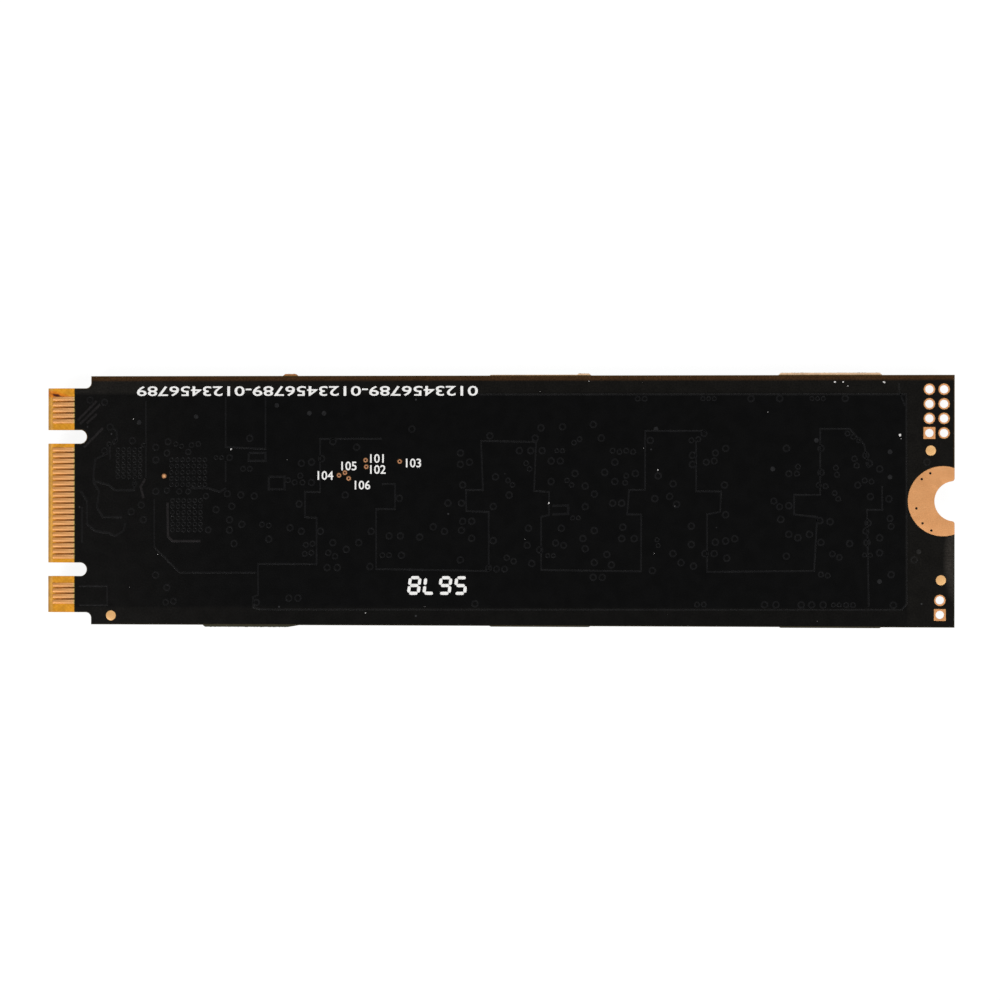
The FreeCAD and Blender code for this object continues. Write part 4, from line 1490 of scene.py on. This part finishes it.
    def _outlines(self, ink: Material) -> None:
        """Print two lines beside each memory package on the component side.

        Args:
            ink: the finish of the print.
        """
        draft = MeshDraft()
        base, height = self.faces.levels[Side.FRONT] + self.sink, -self.sink - self.ink_height
        for low, high in self.faces.packages:
            for y in (low.y - self.outline_gap, high.y + self.outline_gap):
                draft.ribbon([(low.x, y), (high.x, y)], self.outline_width, base, height)
        draft.finish("package_outlines", ink, Slot.INK)


@dataclass
class BrokenTabs:
    """Torn glass fibres on the stubs where the board was snapped from its panel."""

    fibres_per_mm: float = 8.0
    fibre_width: float = 0.04
    longest: float = 0.035
    root: float = 0.05
    crest_start: float = 11.1
    level_play: float = 0.001
    skin: Span = (0.06, 0.03)
    reach_span: Span = (0.2, 1.0)
    lean_span: Span = (-0.5, 0.5)
    width_span: Span = (0.6, 1.8)
    seed: int = 21

    FIBRE_STEPS = ((0.4, 0.6, 0.8), (1.0, 1.0, 0.25))

    def build(self, finishes: Finishes) -> None:
        """Grow the fibres out of every tall stub.

        Args:
            finishes: the drive's materials.
        """
        low, high = node_box("board_laminate")
        lots = random.Random(self.seed)
        draft = MeshDraft()
        for start, end, crest in self._crests():
            for _ in range(int((end - start) * self.fibres_per_mm)):
                x = lots.uniform(start, end)
                z = lots.uniform(low.z + self.skin[0], high.z - self.skin[1])
                self._fibre(draft, (x, crest, z), lots)
        draft.finish("torn_fibres", finishes.made[Slot.LAMINATE], Slot.LAMINATE)

    def _crests(self) -> list[Point]:
        """Find the stubs' crests in the board.

        Returns:
            The start, end and place across of each crest, in millimetres.
        """
        mesh = frame["nodes"]["board_laminate"].data
        crests = set()
        for edge in mesh.edges:
            first, second = (mesh.vertices[index].co / MM for index in edge.vertices)
            level = max(abs(first.y - second.y), abs(first.z - second.z)) < self.level_play
            if level and abs(first.y) > self.crest_start:
                start, end = sorted((round(first.x, 2), round(second.x, 2)))
                crests.add((start, end, round(first.y, 3)))
        return sorted(crests)

    def _fibre(self, draft: MeshDraft, crest: Point, lots: random.Random) -> None:
        """Draw one tapered tuft from below the crest to its tip.

        Args:
            draft: the mesh to draw in.
            crest: place on the stub's crest.
            lots: source of chance.
        """
        x, y, z = crest
        side = math.copysign(1.0, y)
        reach = lots.uniform(*self.reach_span) * self.longest
        lean = lots.uniform(*self.lean_span) * reach
        width = self.fibre_width * lots.uniform(*self.width_span)
        steps = [(0.0, -self.root, 1.0)]
        steps += [(lean * aside, reach * out, scale) for aside, out, scale in self.FIBRE_STEPS]
        sections = []
        for shift, offset, scale in steps:
            half = width * scale
            corners = ((-half, -half / 2), (half, -half / 2), (half, half / 2), (-half, half / 2))
            sections.append([(x + shift + dx, y + side * offset, z + dz) for dx, dz in corners])
        draft.loft(sections)


@dataclass
class SolderSide:
    """Rounded balls under the packages, and solder fillets at the ends of the small parts."""

    ball_sides: int = 12
    ball_swell: float = 1.12
    ball_neck: float = 0.78
    fillet_reach: float = 0.16
    fillet_rise: float = 0.6
    fillet_steps: int = 4
    fillet_inset: float = 0.02
    row_play: float = 0.01

    BALL_LEVELS = (0.0, 0.12, 0.3, 0.5, 0.7, 0.88, 1.0)
    BALL_NODES = ["controller_balls", *(f"memory_balls_{number}" for number in range(1, 5))]
    END_NODES = ["memory_capacitor_ends", "controller_capacitor_ends", "bulk_capacitor_ends",
                 "pull_resistor_ends", "power_inductor_ends"]

    def build(self, finishes: Finishes) -> None:
        """Make the balls of each package and all the fillets.

        Args:
            finishes: the drive's materials.
        """
        solder = finishes.made[Slot.SOLDER]
        for node in self.BALL_NODES:
            balls = MeshDraft()
            for low, high in node_lumps(node):
                self._ball(balls, low, high)
            piece = balls.finish(f"round_{node}", solder, Slot.SOLDER, smooth=True)
            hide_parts(node)
        fillets = MeshDraft()
        for node in self.END_NODES:
            ends = node_lumps(node)
            for end in ends:
                self._fillet(fillets, *end, self._outward(end, ends))
        fillets.finish("solder_fillets", solder, Slot.SOLDER, smooth=True)

    def _ball(self, draft: MeshDraft, low: Vector, high: Vector) -> None:
        """Draw one squashed ball in the room of its post.

        Args:
            draft: the mesh to draw in.
            low: lowest corner of the post.
            high: highest corner of the post.
        """
        middle = (low + high) / 2
        radius, tall = (high.x - low.x) / 2, high.z - low.z
        profile = []
        for share in self.BALL_LEVELS:
            girth = self.ball_neck + (self.ball_swell - self.ball_neck) * math.sin(math.pi * share)
            profile.append((radius * girth, low.z + tall * share))
        draft.turned((middle.x, middle.y), profile, self.ball_sides)

    def _outward(self, end: Box, ends: Sequence[Box]) -> int:
        """Tell which way an end of a small part faces.

        Args:
            end: the end's box.
            ends: every end of that kind of part.

        Returns:
            The direction along X, away from the nearest end in its row.
        """
        row = [low for low, _ in ends if abs(low.y - end[0].y) < self.row_play and low is not end[0]]
        partner = min(row, key=lambda low: abs(low.x - end[0].x))
        return -1 if partner.x > end[0].x else 1

    def _fillet(self, draft: MeshDraft, low: Vector, high: Vector, way: int) -> None:
        """Draw the hollow wedge of solder between an end and the board.

        Args:
            draft: the mesh to draw in.
            low: lowest corner of the end.
            high: highest corner of the end, on the board.
            way: direction along X that the end faces.
        """
        face = high.x if way > 0 else low.x
        rise = (high.z - low.z) * self.fillet_rise
        inner = face - way * self.fillet_inset
        profile = [(inner, high.z), (inner, high.z - rise)]
        for step in range(self.fillet_steps + 1):
            angle = math.pi / 2 * step / self.fillet_steps
            x = face + way * self.fillet_reach * (1 - math.cos(angle))
            profile.append((x, high.z - rise * (1 - math.sin(angle))))
        ends = (low.y + self.fillet_inset, high.y - self.fillet_inset)
        draft.loft([[(x, y, z) for x, z in profile] for y in ends])


@dataclass
class SettledDust:
    """Lint and specks lying on the back."""

    faces: BoardFaces
    sink: float = 0.003
    loose_count: int = 14
    loose_along: Span = (-36.5, 35.0)
    loose_across: Span = (-10.5, 10.5)
    loose_radius: Span = (0.018, 0.034)
    ragged_span: Span = (0.6, 1.25)
    stretch_span: Span = (0.55, 1.0)
    seed: int = 5
    sides: int = 7

    SPECKS = [(29.62, 10.39, 0.1), (30.31, 10.39, 0.09), (30.75, 10.04, 0.07), (33.87, 10.38, 0.12),
              (35.26, 5.76, 0.13), (35.35, 5.45, 0.04), (14.18, 2.71, 0.08), (4.61, -0.19, 0.1),
              (-23.58, 4.54, 0.11), (-32.3, 7.2, 0.05), (8.1, 10.5, 0.04), (-11.6, -9.9, 0.07)]
    SPECK_STEPS = ((1.0, 0.0), (0.8, 0.25), (0.35, 0.4))

    def build(self, finishes: Finishes) -> None:
        """Scatter the specks.

        Args:
            finishes: the drive's materials.
        """
        lots = random.Random(self.seed)
        draft = MeshDraft()
        for speck in self.SPECKS:
            self._speck(draft, speck, lots)
        for _ in range(self.loose_count):
            spans = (self.loose_along, self.loose_across, self.loose_radius)
            self._speck(draft, tuple(lots.uniform(*span) for span in spans), lots)
        draft.finish("dust_specks", finishes.made[Extra.LINT], Slot.MASK)

    def _speck(self, draft: MeshDraft, speck: Point, lots: random.Random) -> None:
        """Draw one ragged grain.

        Args:
            draft: the mesh to draw in.
            speck: its place along and across the board, and its radius.
            lots: source of chance.
        """
        x, y, radius = speck
        base = self.faces.levels[Side.BACK] - self.sink
        sizes = [lots.uniform(*self.ragged_span) for _ in range(self.sides)]
        stretch = lots.uniform(*self.stretch_span)
        sections = []
        for scale, lift in self.SPECK_STEPS:
            section = []
            for size, (cosine, sine) in zip(sizes, spokes(self.sides)):
                reach = radius * size * scale
                section.append((x + reach * cosine, y + reach * stretch * sine, base + lift * radius))
            sections.append(section)
        draft.loft(sections)


def stand(name: str, data: bpy.types.ID) -> bpy.types.Object:
    """Put an object of the studio in the scene.

    Args:
        name: name of the object.
        data: its mesh, lamp or camera.

    Returns:
        The new object.
    """
    holder = bpy.data.objects.new(name, data)
    bpy.context.scene.collection.objects.link(holder)
    return holder


@dataclass(frozen=True)
class SoftBox:
    """A square studio lamp aimed at the drive."""

    name: str
    place: Point
    size: float
    level: float

    def build(self) -> None:
        """Hang the lamp so that it adds its level to a white upward face."""
        reach = Vector(self.place) * MM
        lamp = bpy.data.lights.new(self.name, "AREA")
        lamp.size = self.size * MM
        cosine = reach.z / reach.length
        lamp.energy = self.level * math.pi**2 * reach.length_squared / cosine
        holder = stand(self.name, lamp)
        holder.location = reach
        holder.rotation_mode = "QUATERNION"
        holder.rotation_quaternion = reach.to_track_quat("Z", "Y")
        LOG.info("%s: %.2f W", self.name, lamp.energy)


@dataclass
class Studio:
    """Pale floor, soft lamps, dim room and the camera over the board."""

    floor_reach: float = 3000.0
    floor_drop: float = 0.02
    floor_tone: Colour = (0.18, 0.18, 0.18)
    floor_glow: float = 0.92
    room_tone: Colour = (1.0, 1.0, 1.0)
    room_level: float = 0.06
    aim: Point = (0.296, 0.064, 2.0)
    distance: float = 360.0
    tilt: float = 5.162
    roll: float = 0.064
    lens: float = 147.53
    sensor: float = 36.0
    clip: Span = (10.0, 10000.0)
    lamps: tuple[SoftBox, ...] = (
        SoftBox("key_lamp", (-260.0, -300.0, 360.0), 260.0, 0.38),
        SoftBox("fill_lamp", (330.0, -160.0, 340.0), 260.0, 0.3),
        SoftBox("back_lamp", (40.0, 380.0, 360.0), 280.0, 0.26),
    )

    def build(self) -> None:
        """Set up everything around the drive."""
        bpy.context.scene.view_settings.view_transform = "Standard"
        self._floor()
        self._room()
        for lamp in self.lamps:
            lamp.build()
        self._camera()

    def _floor(self) -> None:
        """Lay the floor, which looks white and still takes the drive's shadow."""
        reach, level = self.floor_reach * MM, -self.floor_drop * MM
        signs = ((-1, -1), (1, -1), (1, 1), (-1, 1))
        mesh = bpy.data.meshes.new("floor")
        mesh.from_pydata([(x * reach, y * reach, level) for x, y in signs], [], [(0, 1, 2, 3)])
        material = bpy.data.materials.new("pale_floor")
        material.use_nodes = True
        sheet = ShaderSheet(material.node_tree)
        paint = sheet.add("BsdfDiffuse", {"Color": opaque(self.floor_tone)})
        rays = sheet.add("LightPath").outputs
        seen = sheet.most(rays["Is Camera Ray"], rays["Is Glossy Ray"])
        seen = sheet.most(seen, rays["Is Transmission Ray"])
        glow = sheet.add("Emission", {"Strength": sheet.times(seen, self.floor_glow)})
        both = sheet.add("AddShader", {0: paint.outputs[0], 1: glow.outputs[0]})
        sheet.add("OutputMaterial", {"Surface": both.outputs[0]})
        mesh.materials.append(material)
        stand("floor", mesh)

    def _room(self) -> None:
        """Fill the room with dim even light."""
        world = bpy.data.worlds.new("room")
        world.use_nodes = True
        sheet = ShaderSheet(world.node_tree)
        light = sheet.add("Background", {"Color": opaque(self.room_tone), "Strength": self.room_level})
        sheet.add("OutputWorld", {"Surface": light.outputs[0]})
        bpy.context.scene.world = world

    def _camera(self) -> None:
        """Hang the camera over the board, tilted a little towards the screw end."""
        tilt, roll = math.radians(self.tilt), math.radians(self.roll)
        back = Vector((math.sin(tilt), 0.0, math.cos(tilt)))
        right = Vector((math.cos(tilt), 0.0, -math.sin(tilt)))
        up = Vector((0.0, 1.0, 0.0))
        across = right * math.cos(roll) + up * math.sin(roll)
        upward = up * math.cos(roll) - right * math.sin(roll)
        camera = bpy.data.cameras.new("camera")
        camera.lens = self.lens
        camera.sensor_width = self.sensor
        camera.clip_start, camera.clip_end = (length * MM for length in self.clip)
        turn = Matrix((across, upward, back)).transposed().to_4x4()
        holder = stand("camera", camera)
        holder.matrix_world = Matrix.Translation((Vector(self.aim) + back * self.distance) * MM) @ turn
        bpy.context.scene.camera = holder


def main() -> None:
    """Build the drive's pieces in order, then the studio."""
    logging.basicConfig(level=logging.INFO, format="%(name)s %(message)s")
    finishes = Finishes()
    finishes.dress()
    faces = BoardFaces.measured()
    CopperRelief(faces).build(finishes)
    FilledVias().build(finishes)
    PrintedNumbers(faces).build(finishes)
    BrokenTabs().build(finishes)
    SolderSide().build(finishes)
    SettledDust(faces).build(finishes)
    Studio().build()


if __name__ == "__main__":
    main()
